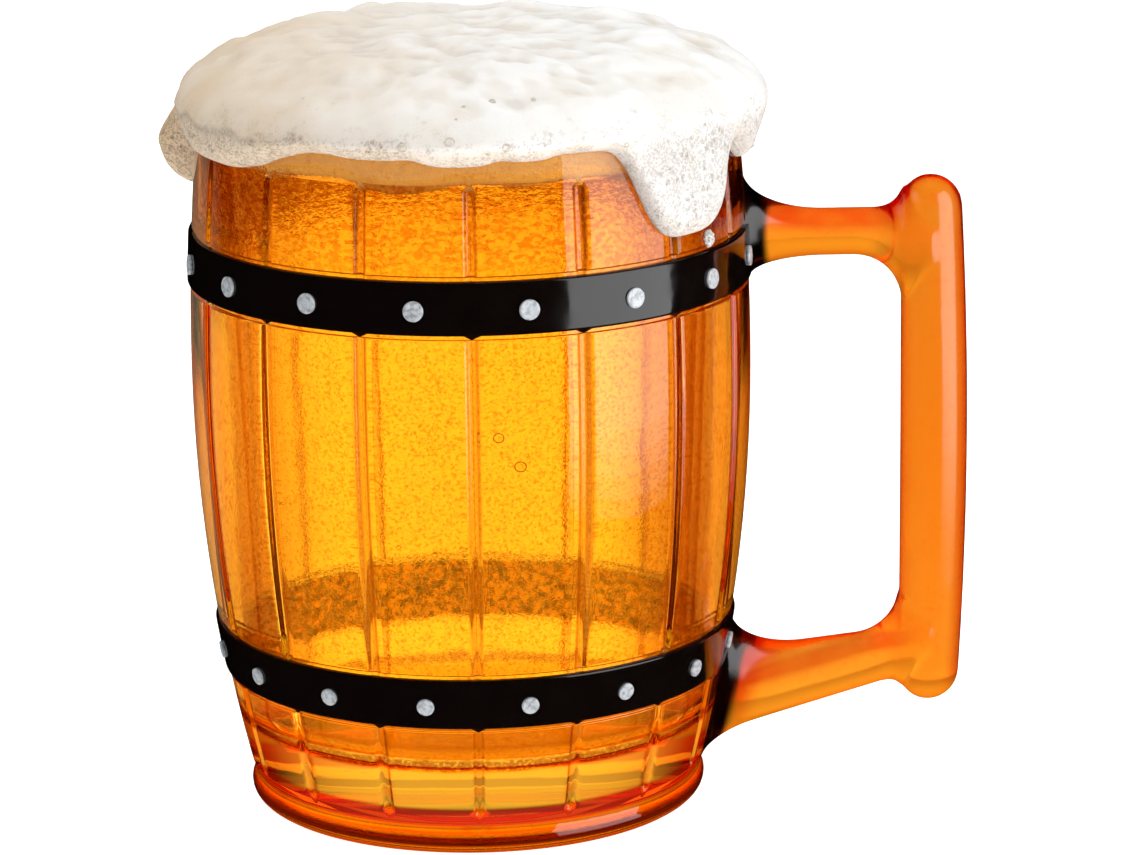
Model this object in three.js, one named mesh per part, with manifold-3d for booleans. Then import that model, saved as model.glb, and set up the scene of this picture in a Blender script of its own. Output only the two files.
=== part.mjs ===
// Glass mug pressed in the form of a coopered barrel, poured full and with a head of foam.
// Millimetres, +Z up. The origin lies on the barrel's axis, in the plane that the mug stands on.
// The handle points along +X. Bearings are taken from the front, -Y, and grow towards the handle.
import * as THREE from "three";
import { mergeVertices } from "three/addons/utils/BufferGeometryUtils.js";
import Module from "manifold-3d";

const wasm = await Module();
wasm.setup();

// Barrel
const GLASS_HEIGHT = 132; // from the table to the rim
const BELLY_LEVEL = 83; // where the barrel is widest
const BELLY_RADIUS = 52.1;
const UPPER_BILGE = 462; // radius of the side's arc above the belly
const LOWER_BILGE = 318; // and below it
const FOOT_HEIGHT = 5.6;
const FOOT_BEAD = 0.45; // how far the foot stands out beyond the staves
const FOOT_NECK = 0.4; // depth of the waist above the foot
const HEEL_ROUND = 2.5;
const BASE_THICKNESS = 16;
const FLOOR_WALL = 6; // wall just above the round of the cavity's floor
const FLOOR_ROUND = 6;
const RIM_WALL = 4.1;

// Staves, parted by shallow grooves that fade out at their ends
const STAVE_COUNT = 16;
const GROOVE_WIDTH = 1.8;
const GROOVE_DEPTH = 0.7;
const GROOVE_FADE = 1.5;
const FOOT_BAND = 8.5; // plain glass below the grooves, measured from the table
const RIM_BAND = 6; // plain glass above them, measured from the rim

// Hoops, let into seats in the glass
const UPPER_HOOP_DROP = 27.6; // from the rim to the middle of the upper hoop
const LOWER_HOOP_LEVEL = 30.5; // from the table to the middle of the lower hoop
const HOOP_WIDTH = 9.6;
const HOOP_PROUD = 0.6; // beyond the staves
const HOOP_EDGE = 0.45; // round of its edges
const SEAT_DEPTH = 0.5;
const SEAT_MARGIN = 0.8; // open strip of seat along each edge

// Rivets, one for each stave on each hoop
const UPPER_RIVET_RADIUS = 1.85;
const LOWER_RIVET_RADIUS = 1.6;
const RIVET_HEIGHT = 0.5;
const RIVET_DROP = 0.3; // below the middle of the hoop

// Handle: a bowed post on two arms that flare into the barrel
const FINGER_GAP = 28.2; // between the belly and the post
const POST_RADIUS = 6.3; // at mid height
const POST_TAPER = 0.75; // loss of radius towards the ends
const POST_BOW = 0.9; // how far the ends lie nearer the barrel
const POST_TOP_REACH = 6.1; // above the upper arm
const POST_BOTTOM_REACH = 4.8; // below the lower arm
const ARM_DEPTH = 10; // across the handle
const ROOT_DEPTH = 14; // across the roots on the barrel
const ROOT_START = 2; // how deep inside the staves an arm is drawn before it is trimmed
const UPPER_ARM_RISE = 1.8; // middle of the upper arm above the middle of its hoop
const UPPER_ARM_THICKNESS = 8.8;
const LOWER_ARM_DROP = 13.4; // middle of the lower arm's root below the middle of its hoop
const LOWER_ARM_CLIMB = 7.4; // from root to post
const LOWER_ROOT_THICKNESS = 16;
const LOWER_ARM_THICKNESS = 9.3;
const UPPER_ROOT_TOP = { reach: 15, rise: 7.5 };
const UPPER_ROOT_BOTTOM = { reach: 14, rise: 4 };
const UPPER_CORNER_TOP = { reach: 5, rise: 4 };
const UPPER_CORNER_BOTTOM = { reach: 9, rise: 9 };
const LOWER_ROOT_TOP = { reach: 14, rise: 8 };
const LOWER_ROOT_BOTTOM = { reach: 10, rise: 5 };
const LOWER_CORNER_TOP = { reach: 8, rise: 8 };
const LOWER_CORNER_BOTTOM = { reach: 4, rise: 2 };

// Contents
const BEER_DROP = 7; // from the rim to the beer
const FOAM_TOP = 12.6; // crown of the head above the rim, between its mounds
const FOAM_OVERHANG = 4.2; // how far the head swells beyond the rim
const FOAM_SWELL = 1.5; // level of the widest part above the rim
const FOAM_LIP = 2.6; // thickness of the foam that hangs over the glass
const LIP_FADE = 10; // over which the head's swell thins out to that
const FRONT_FLATNESS = 3.4; // of the crown: 2 is an ellipse, and more is flatter
const SIDE_FLATNESS = 6.5;
const DOME_EDGE = 1.55; // and of the dome's side
const LIP_DROP = 1.2; // lower edge of the head below the rim, where no lobe hangs
const FOAM_WAVE = 0.4; // unevenness of the head's widest line
const MOUND_HEIGHT = 1.9; // of the highest mounds on the crown
const MOUND_SPREAD = 0.15; // size of a mound, and its place, as shares of the head's radius
const FOAM_MOUNDS = [
  { bearing: 12, reach: 0.6, lift: 1 },
  { bearing: 52, reach: 0.68, lift: 0.8 },
  { bearing: 84, reach: 0.62, lift: 1 },
  { bearing: 128, reach: 0.66, lift: 0.9 },
  { bearing: 163, reach: 0.58, lift: 1 },
  { bearing: 201, reach: 0.67, lift: 0.8 },
  { bearing: 238, reach: 0.6, lift: 1 },
  { bearing: 276, reach: 0.67, lift: 0.9 },
  { bearing: 318, reach: 0.62, lift: 1 },
  { bearing: 345, reach: 0.78, lift: 0.6 },
  { bearing: 30, reach: 0.22, lift: 0.7 },
  { bearing: 120, reach: 0.3, lift: 0.8 },
  { bearing: 215, reach: 0.28, lift: 0.7 },
  { bearing: 300, reach: 0.3, lift: 0.9 },
];
const FRONT_RUN_DROP = 17.5; // how far each lobe or run of foam hangs down
const SIDE_RUN_DROP = 13;
const HANDLE_LOBE_DROP = 8;
const SIDE_LOBE_DROP = 5;
const BACK_LOBE_DROP = 4.5;
const HANDLE_LOBE_SWELL = 1.7; // and swells out
const SIDE_RUN_SWELL = 0.8;
const BACK_LOBE_SWELL = 0.4;
const FRONT_RUN_THICK = 1.4; // and is thicker than the lip
const SIDE_RUN_THICK = 5.5;
const HANDLE_LOBE_THICK = 0.6;
const SIDE_LOBE_THICK = 1.4;
const FOAM_LOBES = [
  { bearing: 48.5, spread: 13.5, drop: FRONT_RUN_DROP, swell: 0, thick: FRONT_RUN_THICK },
  { bearing: 88, spread: 20, drop: HANDLE_LOBE_DROP, swell: HANDLE_LOBE_SWELL, thick: HANDLE_LOBE_THICK },
  { bearing: 150, spread: 25, drop: BACK_LOBE_DROP, swell: BACK_LOBE_SWELL, thick: 0 },
  { bearing: 205, spread: 20, drop: BACK_LOBE_DROP, swell: BACK_LOBE_SWELL, thick: 0 },
  { bearing: 257, spread: 8, drop: SIDE_RUN_DROP, swell: SIDE_RUN_SWELL, thick: SIDE_RUN_THICK },
  { bearing: 298, spread: 18, drop: SIDE_LOBE_DROP, swell: 0, thick: SIDE_LOBE_THICK },
];
const FLECK_BEARING = 56.5;
const FLECK_WIDTH = 3;
const FLECK_HEIGHT = 3.8;
const FLECK_THICKNESS = 2;

// Fits
const CLEARANCE = 0.3; // between pieces that touch
const RIVET_CLEARANCE = 0.15; // under the flat back of a rivet

// Facets
const STAVE_COLUMNS = 5;
const HOOP_COLUMNS = 64;
const BEER_COLUMNS = 48;
const FOAM_COLUMNS = 64;
const RIVET_COLUMNS = 10;
const HANDLE_COLUMNS = 18;
const CUT_COLUMNS = 120;
const BELLY_STEP = 16; // height of a row of facets on the barrel's side
const ARM_STATIONS = 22; // rows of facets along an arm

const WELD = 1e-4;
const RIM_ROUND_STEPS = 4;
const ROUND_STEPS = 3;
const LIP_STEPS = 5;
const DOME_ROWS = [0.97, 0.92, 0.85, 0.76, 0.66, 0.55, 0.44, 0.32, 0.2, 0.1]; // shares of the head's radius
const SHAFT_STEPS = 5;

const radians = THREE.MathUtils.degToRad;
const clamp01 = (value) => THREE.MathUtils.clamp(value, 0, 1);

// Welds a geometry into one closed body, drops collapsed facets and turns it outward.
function closedBody(geometry) {
  const bare = new THREE.BufferGeometry();
  bare.setAttribute("position", geometry.getAttribute("position"));
  bare.setIndex(geometry.getIndex());
  const body = mergeVertices(bare, WELD);
  const facets = [];
  const index = body.getIndex().array;
  for (let i = 0; i < index.length; i += 3) {
    const [a, b, c] = index.slice(i, i + 3);
    if (a !== b && b !== c && c !== a) facets.push([a, b, c]);
  }
  const outward = signedVolume(body.getAttribute("position"), facets) > 0;
  body.setIndex(facets.flatMap(([a, b, c]) => (outward ? [a, b, c] : [a, c, b])));
  return body;
}

function signedVolume(position, facets) {
  const corner = (i) => new THREE.Vector3().fromBufferAttribute(position, i);
  return facets.reduce((sum, [a, b, c]) => sum + corner(a).dot(corner(b).cross(corner(c))) / 6, 0);
}

// Revolves a profile of [radius, height] points about +Z, starting at the front.
function revolve(profile, columns) {
  const points = profile.map(([radius, height]) => new THREE.Vector2(radius, height));
  return new THREE.LatheGeometry(points, columns).rotateX(Math.PI / 2);
}

// Revolves a section that changes with the bearing; sectionAt gives [radius, height] points.
function revolveSections(sectionAt, bearings) {
  const rows = sectionAt(bearings[0]).length;
  const geometry = revolve(sectionAt(bearings[0]), bearings.length);
  const position = geometry.getAttribute("position");
  for (let column = 0; column <= bearings.length; column++) {
    const bearing = bearings[column % bearings.length];
    sectionAt(bearing).forEach(([radius, height], row) => {
      const x = radius * Math.sin(bearing);
      const y = -radius * Math.cos(bearing);
      position.setXYZ(column * rows + row, x, y, height);
    });
  }
  return geometry;
}

function evenBearings(count) {
  return Array.from({ length: count }, (_, i) => (2 * Math.PI * i) / count);
}

// Points of an arc about a centre, in degrees from +radius towards +height.
function arc([radius, height], size, from, to, steps) {
  return Array.from({ length: steps + 1 }, (_, i) => {
    const angle = radians(from + ((to - from) * i) / steps);
    return [radius + size * Math.cos(angle), height + size * Math.sin(angle)];
  });
}

// Skins a row of sections, each a list of points, and closes it at both ends.
function loft(sections) {
  const size = sections[0].length;
  const points = sections.flat();
  const index = [];
  for (let s = 0; s + 1 < sections.length; s++) {
    for (let i = 0; i < size; i++) {
      const a = s * size + i;
      const b = s * size + ((i + 1) % size);
      index.push(a, b, b + size, a, b + size, a + size);
    }
  }
  const last = points.length - size;
  for (let i = 1; i + 1 < size; i++) {
    index.push(0, i + 1, i);
    index.push(last, last + i, last + i + 1);
  }
  const geometry = new THREE.BufferGeometry().setFromPoints(points);
  geometry.setIndex(index);
  return geometry;
}

function toManifold(geometry) {
  const body = closedBody(geometry);
  const vertProperties = new Float32Array(body.getAttribute("position").array);
  const triVerts = new Uint32Array(body.getIndex().array);
  return new wasm.Manifold(new wasm.Mesh({ numProp: 3, vertProperties, triVerts }));
}

function fromManifold(solid) {
  const { vertProperties, triVerts } = solid.getMesh();
  const geometry = new THREE.BufferGeometry();
  geometry.setAttribute("position", new THREE.BufferAttribute(vertProperties, 3));
  geometry.setIndex(new THREE.BufferAttribute(triVerts, 1));
  return geometry;
}

function mesh(name, geometry, colour, roughness, metalness) {
  const material = new THREE.MeshStandardMaterial({ color: colour, roughness, metalness });
  const body = new THREE.Mesh(closedBody(geometry), material);
  body.name = name;
  return body;
}

// Radius of the staves' face: two arcs that meet at the belly.
function staveRadius(height) {
  const rise = height - BELLY_LEVEL;
  const bilge = rise > 0 ? UPPER_BILGE : LOWER_BILGE;
  return BELLY_RADIUS - bilge + Math.sqrt(bilge * bilge - rise * rise);
}

// Levels and radii that follow from the sizes above.
const UPPER_HOOP_LEVEL = GLASS_HEIGHT - UPPER_HOOP_DROP;
const RIM_RADIUS = staveRadius(GLASS_HEIGHT);
const MOUTH_RADIUS = RIM_RADIUS - RIM_WALL;
const FLOOR_RADIUS = staveRadius(BASE_THICKNESS + FLOOR_ROUND) - FLOOR_WALL;
const FOOT_RADIUS = staveRadius(FOOT_HEIGHT) + FOOT_BEAD;
const POST_FACE = BELLY_RADIUS + FINGER_GAP;
const POST_AXIS = POST_FACE + POST_RADIUS;
const BEER_LEVEL = GLASS_HEIGHT - BEER_DROP;
const FOAM_RADIUS = RIM_RADIUS + FOAM_OVERHANG;

// Change of the staves' radius with height.
function staveSlope(height) {
  const rise = height - BELLY_LEVEL;
  const bilge = rise > 0 ? UPPER_BILGE : LOWER_BILGE;
  return -rise / Math.sqrt(bilge * bilge - rise * rise);
}

function cavityRadius(height) {
  const foot = BASE_THICKNESS + FLOOR_ROUND;
  return THREE.MathUtils.mapLinear(height, foot, GLASS_HEIGHT, FLOOR_RADIUS, MOUTH_RADIUS);
}

// Profile of the cavity from the middle of its floor to where the wall starts, kept inside by a gap.
function cavityFloor(gap) {
  const centre = [FLOOR_RADIUS - FLOOR_ROUND, BASE_THICKNESS + FLOOR_ROUND];
  return [[0, BASE_THICKNESS + gap], ...arc(centre, FLOOR_ROUND - gap, -90, 0, ROUND_STEPS)];
}

// One run of grooves between two levels, as [radius, height, groove] rows.
function grooveRun(bottom, top) {
  const foot = bottom + GROOVE_FADE;
  const head = top - GROOVE_FADE;
  const count = Math.max(1, Math.round((head - foot) / BELLY_STEP));
  const levels = Array.from({ length: count + 1 }, (_, i) => foot + ((head - foot) * i) / count);
  const rows = levels.map((level) => [staveRadius(level), level, GROOVE_DEPTH]);
  return [[staveRadius(bottom), bottom, 0], ...rows, [staveRadius(top), top, 0]];
}

function seatEnds(level) {
  const half = HOOP_WIDTH / 2 + SEAT_MARGIN;
  return [level - half, level + half];
}

function hoopSeat(level) {
  return seatEnds(level).map((end) => [staveRadius(end) - SEAT_DEPTH, end, 0]);
}

// Outside and inside of the barrel from the middle of its base to the middle of the cavity's floor.
function barrelProfile() {
  const [lowerSeat, lowerSeatTop] = seatEnds(LOWER_HOOP_LEVEL);
  const [upperSeat, upperSeatTop] = seatEnds(UPPER_HOOP_LEVEL);
  const rimRadius = RIM_WALL / 2;
  const rimCentre = [MOUTH_RADIUS + rimRadius, GLASS_HEIGHT - rimRadius];
  const foot = [
    [0, 0],
    ...arc([FOOT_RADIUS - HEEL_ROUND, HEEL_ROUND], HEEL_ROUND, -90, 20, ROUND_STEPS),
    [staveRadius(FOOT_HEIGHT) - FOOT_NECK, FOOT_HEIGHT],
    [staveRadius((FOOT_HEIGHT + FOOT_BAND) / 2), (FOOT_HEIGHT + FOOT_BAND) / 2],
  ];
  return [
    ...foot.map(([radius, height]) => [radius, height, 0]),
    ...grooveRun(FOOT_BAND, lowerSeat),
    ...hoopSeat(LOWER_HOOP_LEVEL),
    ...grooveRun(lowerSeatTop, upperSeat),
    ...hoopSeat(UPPER_HOOP_LEVEL),
    ...grooveRun(upperSeatTop, GLASS_HEIGHT - RIM_BAND),
    ...arc(rimCentre, rimRadius, 0, 180, RIM_ROUND_STEPS).map(([r, h]) => [r, h, 0]),
    ...cavityFloor(0).reverse().map(([r, h]) => [r, h, 0]),
  ];
}

// Barrel: the profile revolved with a groove pressed in between each two staves.
function barrel() {
  const pitch = (2 * Math.PI) / STAVE_COUNT;
  const edge = GROOVE_WIDTH / 2 / BELLY_RADIUS;
  const panel = (pitch - 2 * edge) / (STAVE_COLUMNS - 2);
  const profile = barrelProfile();
  const bearings = [];
  const grooves = new Set();
  for (let stave = 0; stave < STAVE_COUNT; stave++) {
    const groove = stave * pitch;
    grooves.add(groove);
    bearings.push(groove);
    for (let i = 0; i < STAVE_COLUMNS - 1; i++) bearings.push(groove + edge + i * panel);
  }
  const sectionAt = (bearing) => {
    const share = grooves.has(bearing) ? 1 : 0;
    return profile.map(([radius, height, depth]) => [radius - share * depth, height]);
  };
  return revolveSections(sectionAt, bearings);
}

// Hoop: a band with rounded edges that follows the staves, drawn about its own middle.
function hoop(level) {
  const half = HOOP_WIDTH / 2;
  const face = (height, offset) => staveRadius(level + height) + offset;
  const inner = CLEARANCE - SEAT_DEPTH;
  const shoulder = HOOP_PROUD - HOOP_EDGE;
  const bottom = arc([face(-half, shoulder), HOOP_EDGE - half], HOOP_EDGE, -90, 0, 2);
  const top = arc([face(half, shoulder), half - HOOP_EDGE], HOOP_EDGE, 0, 90, 2);
  const ring = [[face(-half, inner), -half], ...bottom, ...top, [face(half, inner), half]];
  return revolve([...ring, ring[0]], HOOP_COLUMNS);
}

// Rivet: a flat head with a quarter-round edge, pointing along +Z.
function rivet(radius) {
  const edge = arc([radius - RIVET_HEIGHT, 0], RIVET_HEIGHT, 0, 90, 2);
  return revolve([[0, 0], ...edge, [0, RIVET_HEIGHT]], RIVET_COLUMNS);
}

function rivetOnHoop(name, radius, level, bearing) {
  const slope = staveSlope(level - RIVET_DROP);
  const seat = staveRadius(level - RIVET_DROP) + HOOP_PROUD + RIVET_CLEARANCE;
  const head = mesh(name, rivet(radius), 0xd9d9d6, 0.3, 0.6);
  head.position.set(seat, 0, -RIVET_DROP);
  head.rotation.y = Math.PI / 2 + Math.atan(slope);
  const turn = new THREE.Group();
  turn.rotation.z = bearing;
  turn.add(head);
  return turn;
}

// One hoop with its ring of rivets, each in the middle of a stave.
function hoopGroup(name, level, rivetRadius) {
  const group = new THREE.Group();
  group.position.z = level;
  group.add(mesh(`${name}_hoop`, hoop(level), 0x0c0b0c, 0.15, 0));
  const pitch = (2 * Math.PI) / STAVE_COUNT;
  for (let i = 0; i < STAVE_COUNT; i++) {
    const number = String(i + 1).padStart(2, "0");
    group.add(rivetOnHoop(`${name}_rivet_${number}`, rivetRadius, level, (i + 0.5) * pitch));
  }
  return group;
}

// Height of a quarter-ellipse fillet at a distance from the face that it runs into.
function flare(distance, { reach, rise }) {
  const along = clamp01(1 - distance / reach);
  return rise * (1 - Math.sqrt(1 - along * along));
}

// The edges of an arm against the distance from the barrel's axis.
const UPPER_ARM = {
  root: UPPER_HOOP_LEVEL + UPPER_ARM_RISE,
  climb: 0,
  rootThickness: UPPER_ARM_THICKNESS,
  postThickness: UPPER_ARM_THICKNESS,
  rootTop: UPPER_ROOT_TOP,
  rootBottom: UPPER_ROOT_BOTTOM,
  postTop: UPPER_CORNER_TOP,
  postBottom: UPPER_CORNER_BOTTOM,
};
const LOWER_ARM = {
  root: LOWER_HOOP_LEVEL - LOWER_ARM_DROP,
  climb: LOWER_ARM_CLIMB,
  rootThickness: LOWER_ROOT_THICKNESS,
  postThickness: LOWER_ARM_THICKNESS,
  rootTop: LOWER_ROOT_TOP,
  rootBottom: LOWER_ROOT_BOTTOM,
  postTop: LOWER_CORNER_TOP,
  postBottom: LOWER_CORNER_BOTTOM,
};

// Level and half thickness of an arm, without its fillets.
function armLine(arm, x) {
  const wall = staveRadius(arm.root);
  const along = (x - wall) / (POST_FACE - wall);
  const middle = arm.root + arm.climb * along;
  const half = THREE.MathUtils.lerp(arm.rootThickness, arm.postThickness, along) / 2;
  return [middle, half];
}

// Where the top and the bottom of an arm's root meet the staves.
function rootWalls(arm) {
  const top = arm.root + arm.rootThickness / 2 + arm.rootTop.rise;
  const bottom = arm.root - arm.rootThickness / 2 - arm.rootBottom.rise;
  return [staveRadius(top), staveRadius(bottom)];
}

// One elliptical section across an arm.
function armSection(arm, x) {
  const [middle, half] = armLine(arm, x);
  const [topWall, bottomWall] = rootWalls(arm);
  const toPost = POST_FACE - x;
  const top = middle + half + flare(x - topWall, arm.rootTop) + flare(toPost, arm.postTop);
  const bottom = middle - half - flare(x - bottomWall, arm.rootBottom) - flare(toPost, arm.postBottom);
  const rootFlare = flare(x - topWall, { reach: arm.rootTop.reach, rise: ROOT_DEPTH - ARM_DEPTH });
  const postFlare = flare(toPost, { reach: arm.postTop.reach, rise: POST_RADIUS - ARM_DEPTH / 2 });
  const halfDepth = (ARM_DEPTH + rootFlare) / 2 + postFlare;
  return evenBearings(HANDLE_COLUMNS).map((angle) => {
    const level = (top + bottom) / 2 + ((top - bottom) / 2) * Math.sin(angle);
    return new THREE.Vector3(x, halfDepth * Math.cos(angle), level);
  });
}

function armSolid(arm) {
  const start = Math.min(...rootWalls(arm)) - ROOT_START;
  const end = POST_AXIS - POST_BOW;
  const sections = Array.from({ length: ARM_STATIONS + 1 }, (_, i) => {
    return armSection(arm, THREE.MathUtils.lerp(start, end, i / ARM_STATIONS));
  });
  return toManifold(loft(sections));
}

// Post: a spindle with round ends, bowed away from the barrel.
function postSolid() {
  const [upperMiddle, upperHalf] = armLine(UPPER_ARM, POST_FACE);
  const [lowerMiddle, lowerHalf] = armLine(LOWER_ARM, POST_FACE);
  const top = upperMiddle + upperHalf + POST_TOP_REACH;
  const bottom = lowerMiddle - lowerHalf - POST_BOTTOM_REACH;
  const middle = (top + bottom) / 2;
  const half = (top - bottom) / 2;
  const end = POST_RADIUS - POST_TAPER;
  const shaft = Array.from({ length: SHAFT_STEPS }, (_, i) => {
    const share = ((2 * i + 1) / SHAFT_STEPS - 1) * (1 - end / half);
    return [POST_RADIUS - POST_TAPER * share * share, middle + half * share];
  });
  const profile = [
    ...arc([0, bottom + end], end, -90, 0, RIM_ROUND_STEPS),
    ...shaft,
    ...arc([0, top - end], end, 0, 90, RIM_ROUND_STEPS),
  ];
  const geometry = revolve(profile, HANDLE_COLUMNS);
  const position = geometry.getAttribute("position");
  for (let i = 0; i < position.count; i++) {
    const share = (position.getZ(i) - middle) / half;
    position.setX(i, position.getX(i) + POST_AXIS - POST_BOW * share * share);
  }
  return toManifold(geometry);
}

// What the handle has to stay clear of: the staves with their hoops on them.
function barrelEnvelope() {
  const side = (height, offset) => [staveRadius(height) + offset + CLEARANCE, height];
  const band = (level) => {
    const half = HOOP_WIDTH / 2 + CLEARANCE;
    const [bottom, top] = [level - half, level + half];
    return [side(bottom, 0), side(bottom, HOOP_PROUD), side(top, HOOP_PROUD), side(top, 0)];
  };
  const profile = [
    [0, 0],
    [FOOT_RADIUS + CLEARANCE, 0],
    [FOOT_RADIUS + CLEARANCE, FOOT_HEIGHT],
    side((FOOT_HEIGHT + LOWER_HOOP_LEVEL) / 2, 0),
    ...band(LOWER_HOOP_LEVEL),
    side(BELLY_LEVEL, 0),
    ...band(UPPER_HOOP_LEVEL),
    side(GLASS_HEIGHT, 0),
    [0, GLASS_HEIGHT],
  ];
  return toManifold(revolve(profile, CUT_COLUMNS));
}

function handle() {
  const joined = postSolid().add(armSolid(UPPER_ARM)).add(armSolid(LOWER_ARM));
  return fromManifold(joined.subtract(barrelEnvelope()));
}

function beer() {
  const top = BEER_LEVEL;
  const wall = cavityRadius(top) - CLEARANCE;
  return revolve([...cavityFloor(CLEARANCE), [wall, top], [0, top]], BEER_COLUMNS);
}

// Sum of the foam's lobes at a bearing, of what each hangs down, swells out or thickens by.
function lobes(bearing, key) {
  return FOAM_LOBES.reduce((sum, lobe) => {
    const turn = THREE.MathUtils.euclideanModulo(bearing - radians(lobe.bearing) + Math.PI, 2 * Math.PI);
    const away = (turn - Math.PI) / radians(lobe.spread);
    return sum + lobe[key] * Math.exp(-(away ** 4));
  }, 0);
}

// Height of the mounds at a bearing and a share of the head's radius.
function mounds(bearing, reach) {
  return FOAM_MOUNDS.reduce((sum, mound) => {
    const turn = bearing - radians(mound.bearing);
    const away2 = reach ** 2 + mound.reach ** 2 - 2 * reach * mound.reach * Math.cos(turn);
    return sum + MOUND_HEIGHT * mound.lift * Math.exp(-away2 / MOUND_SPREAD ** 2);
  }, 0);
}

// One section of the head: a plug in the mouth, a slot over the rim, a lip outside and the dome.
function foamSection(bearing) {
  const floor = BEER_LEVEL + CLEARANCE;
  const roof = GLASS_HEIGHT + CLEARANCE;
  const outside = (height) => staveRadius(height) + CLEARANCE;
  const hem = GLASS_HEIGHT - LIP_DROP - lobes(bearing, "drop");
  const swellLevel = GLASS_HEIGHT + FOAM_SWELL;
  const swell = FOAM_RADIUS + lobes(bearing, "swell") + FOAM_WAVE * Math.sin(5 * bearing + 1);
  const thickness = FOAM_LIP + lobes(bearing, "thick");
  const reach = swellLevel - hem;
  const round = Math.min(reach, 1.1 * thickness);
  const lip = Array.from({ length: LIP_STEPS + 1 }, (_, i) => {
    const down = reach * Math.cos((i / LIP_STEPS) * (Math.PI / 2));
    const fade = THREE.MathUtils.smoothstep(down, 0, LIP_FADE);
    const full = THREE.MathUtils.lerp(swell - outside(hem), thickness, fade);
    const inward = clamp01(1 - (reach - down) / round);
    return [outside(hem) + full * Math.sqrt(1 - inward ** 2), swellLevel - down];
  });
  const front = THREE.MathUtils.smoothstep(Math.cos(bearing), -0.2, 0.8);
  const flatness = THREE.MathUtils.lerp(SIDE_FLATNESS, FRONT_FLATNESS, front);
  const crown = FOAM_TOP - FOAM_SWELL;
  const dome = [...DOME_ROWS, 0].map((share) => {
    const rise = (1 - share ** flatness) ** (1 / DOME_EDGE);
    return [swell * share, swellLevel + (crown + mounds(bearing, share)) * rise];
  });
  return [
    [0, floor],
    [cavityRadius(floor) - CLEARANCE, floor],
    [cavityRadius(GLASS_HEIGHT) - CLEARANCE, roof],
    [outside(GLASS_HEIGHT), roof],
    ...lip,
    ...dome,
  ];
}

// Fleck: a drop of foam on the glass, resting on the upper hoop's edge.
function fleck() {
  const level = UPPER_HOOP_LEVEL + HOOP_WIDTH / 2 + CLEARANCE + FLECK_HEIGHT / 2;
  const drop = mesh("foam_fleck", new THREE.SphereGeometry(0.5, 10, 6), 0xf6efdc, 0.8, 0);
  drop.geometry.scale(FLECK_THICKNESS, FLECK_WIDTH, FLECK_HEIGHT);
  drop.position.set(staveRadius(level) + CLEARANCE + FLECK_THICKNESS / 2, 0, level);
  const turn = new THREE.Group();
  turn.rotation.z = radians(FLECK_BEARING - 90);
  turn.add(drop);
  return turn;
}

const mug = new THREE.Group();
mug.name = "glass_mug";
mug.add(mesh("barrel", barrel(), 0xd9881c, 0.05, 0));
mug.add(hoopGroup("upper", UPPER_HOOP_LEVEL, UPPER_RIVET_RADIUS));
mug.add(hoopGroup("lower", LOWER_HOOP_LEVEL, LOWER_RIVET_RADIUS));
mug.add(mesh("handle", handle(), 0xe58a1a, 0.05, 0));
mug.add(mesh("beer", beer(), 0xf2a51e, 0.1, 0));
mug.add(mesh("foam_head", revolveSections(foamSection, evenBearings(FOAM_COLUMNS)), 0xfbf6ea, 0.8, 0));
mug.add(fleck());

export default mug;
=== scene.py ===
"""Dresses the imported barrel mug: amber glass, enamelled hoops, rivets, beer and its head of foam."""

import math
import random

import bmesh
import bpy
import numpy
from bpy.props import FloatProperty, FloatVectorProperty, IntProperty, PointerProperty
from mathutils import Matrix, Vector
from mathutils.bvhtree import BVHTree


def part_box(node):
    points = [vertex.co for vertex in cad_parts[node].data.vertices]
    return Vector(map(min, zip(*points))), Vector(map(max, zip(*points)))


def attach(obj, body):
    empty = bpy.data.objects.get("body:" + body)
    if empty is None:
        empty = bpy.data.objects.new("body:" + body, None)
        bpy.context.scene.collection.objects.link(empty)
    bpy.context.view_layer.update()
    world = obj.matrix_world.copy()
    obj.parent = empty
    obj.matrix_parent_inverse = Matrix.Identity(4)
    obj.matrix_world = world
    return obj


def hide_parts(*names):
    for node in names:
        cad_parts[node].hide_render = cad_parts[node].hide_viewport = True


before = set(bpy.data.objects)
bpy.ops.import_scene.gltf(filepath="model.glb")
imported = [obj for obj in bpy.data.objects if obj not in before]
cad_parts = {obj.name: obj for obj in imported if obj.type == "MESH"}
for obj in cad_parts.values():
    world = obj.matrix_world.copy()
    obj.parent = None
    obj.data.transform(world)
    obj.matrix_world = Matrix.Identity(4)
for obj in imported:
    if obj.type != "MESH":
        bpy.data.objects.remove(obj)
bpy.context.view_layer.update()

bl_info = {
    "name": "Barrel mug",
    "version": (1, 0, 0),
    "blender": (4, 5, 0),
    "location": "View3D > Sidebar > Mug",
    "description": "Dresses a pressed-glass barrel mug with hoops, rivets, beer and a head of foam",
    "category": "Add Mesh",
}

MM = 0.001
BODY = "root"
WELD = 2e-6


def length(description, millimetres):
    """A size in metres, given in millimetres."""
    return FloatProperty(description=description, default=millimetres * MM, unit="LENGTH", precision=5)


def tint(description, colour):
    """A linear colour."""
    return FloatVectorProperty(description=description, default=colour, subtype="COLOR",
                               size=3, min=0.0, max=1.0)


def turn(description, degrees):
    """An angle, given in degrees."""
    return FloatProperty(description=description, default=math.radians(degrees), subtype="ANGLE")


def amount(description, value):
    """A plain number that can't be negative."""
    return FloatProperty(description=description, default=value, min=0.0)


def whole(description, value, least, most):
    """A whole number."""
    return IntProperty(description=description, default=value, min=least, max=most)


def label(key):
    """A property's name as the panel shows it."""
    return key.replace("_", " ").capitalize()


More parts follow.
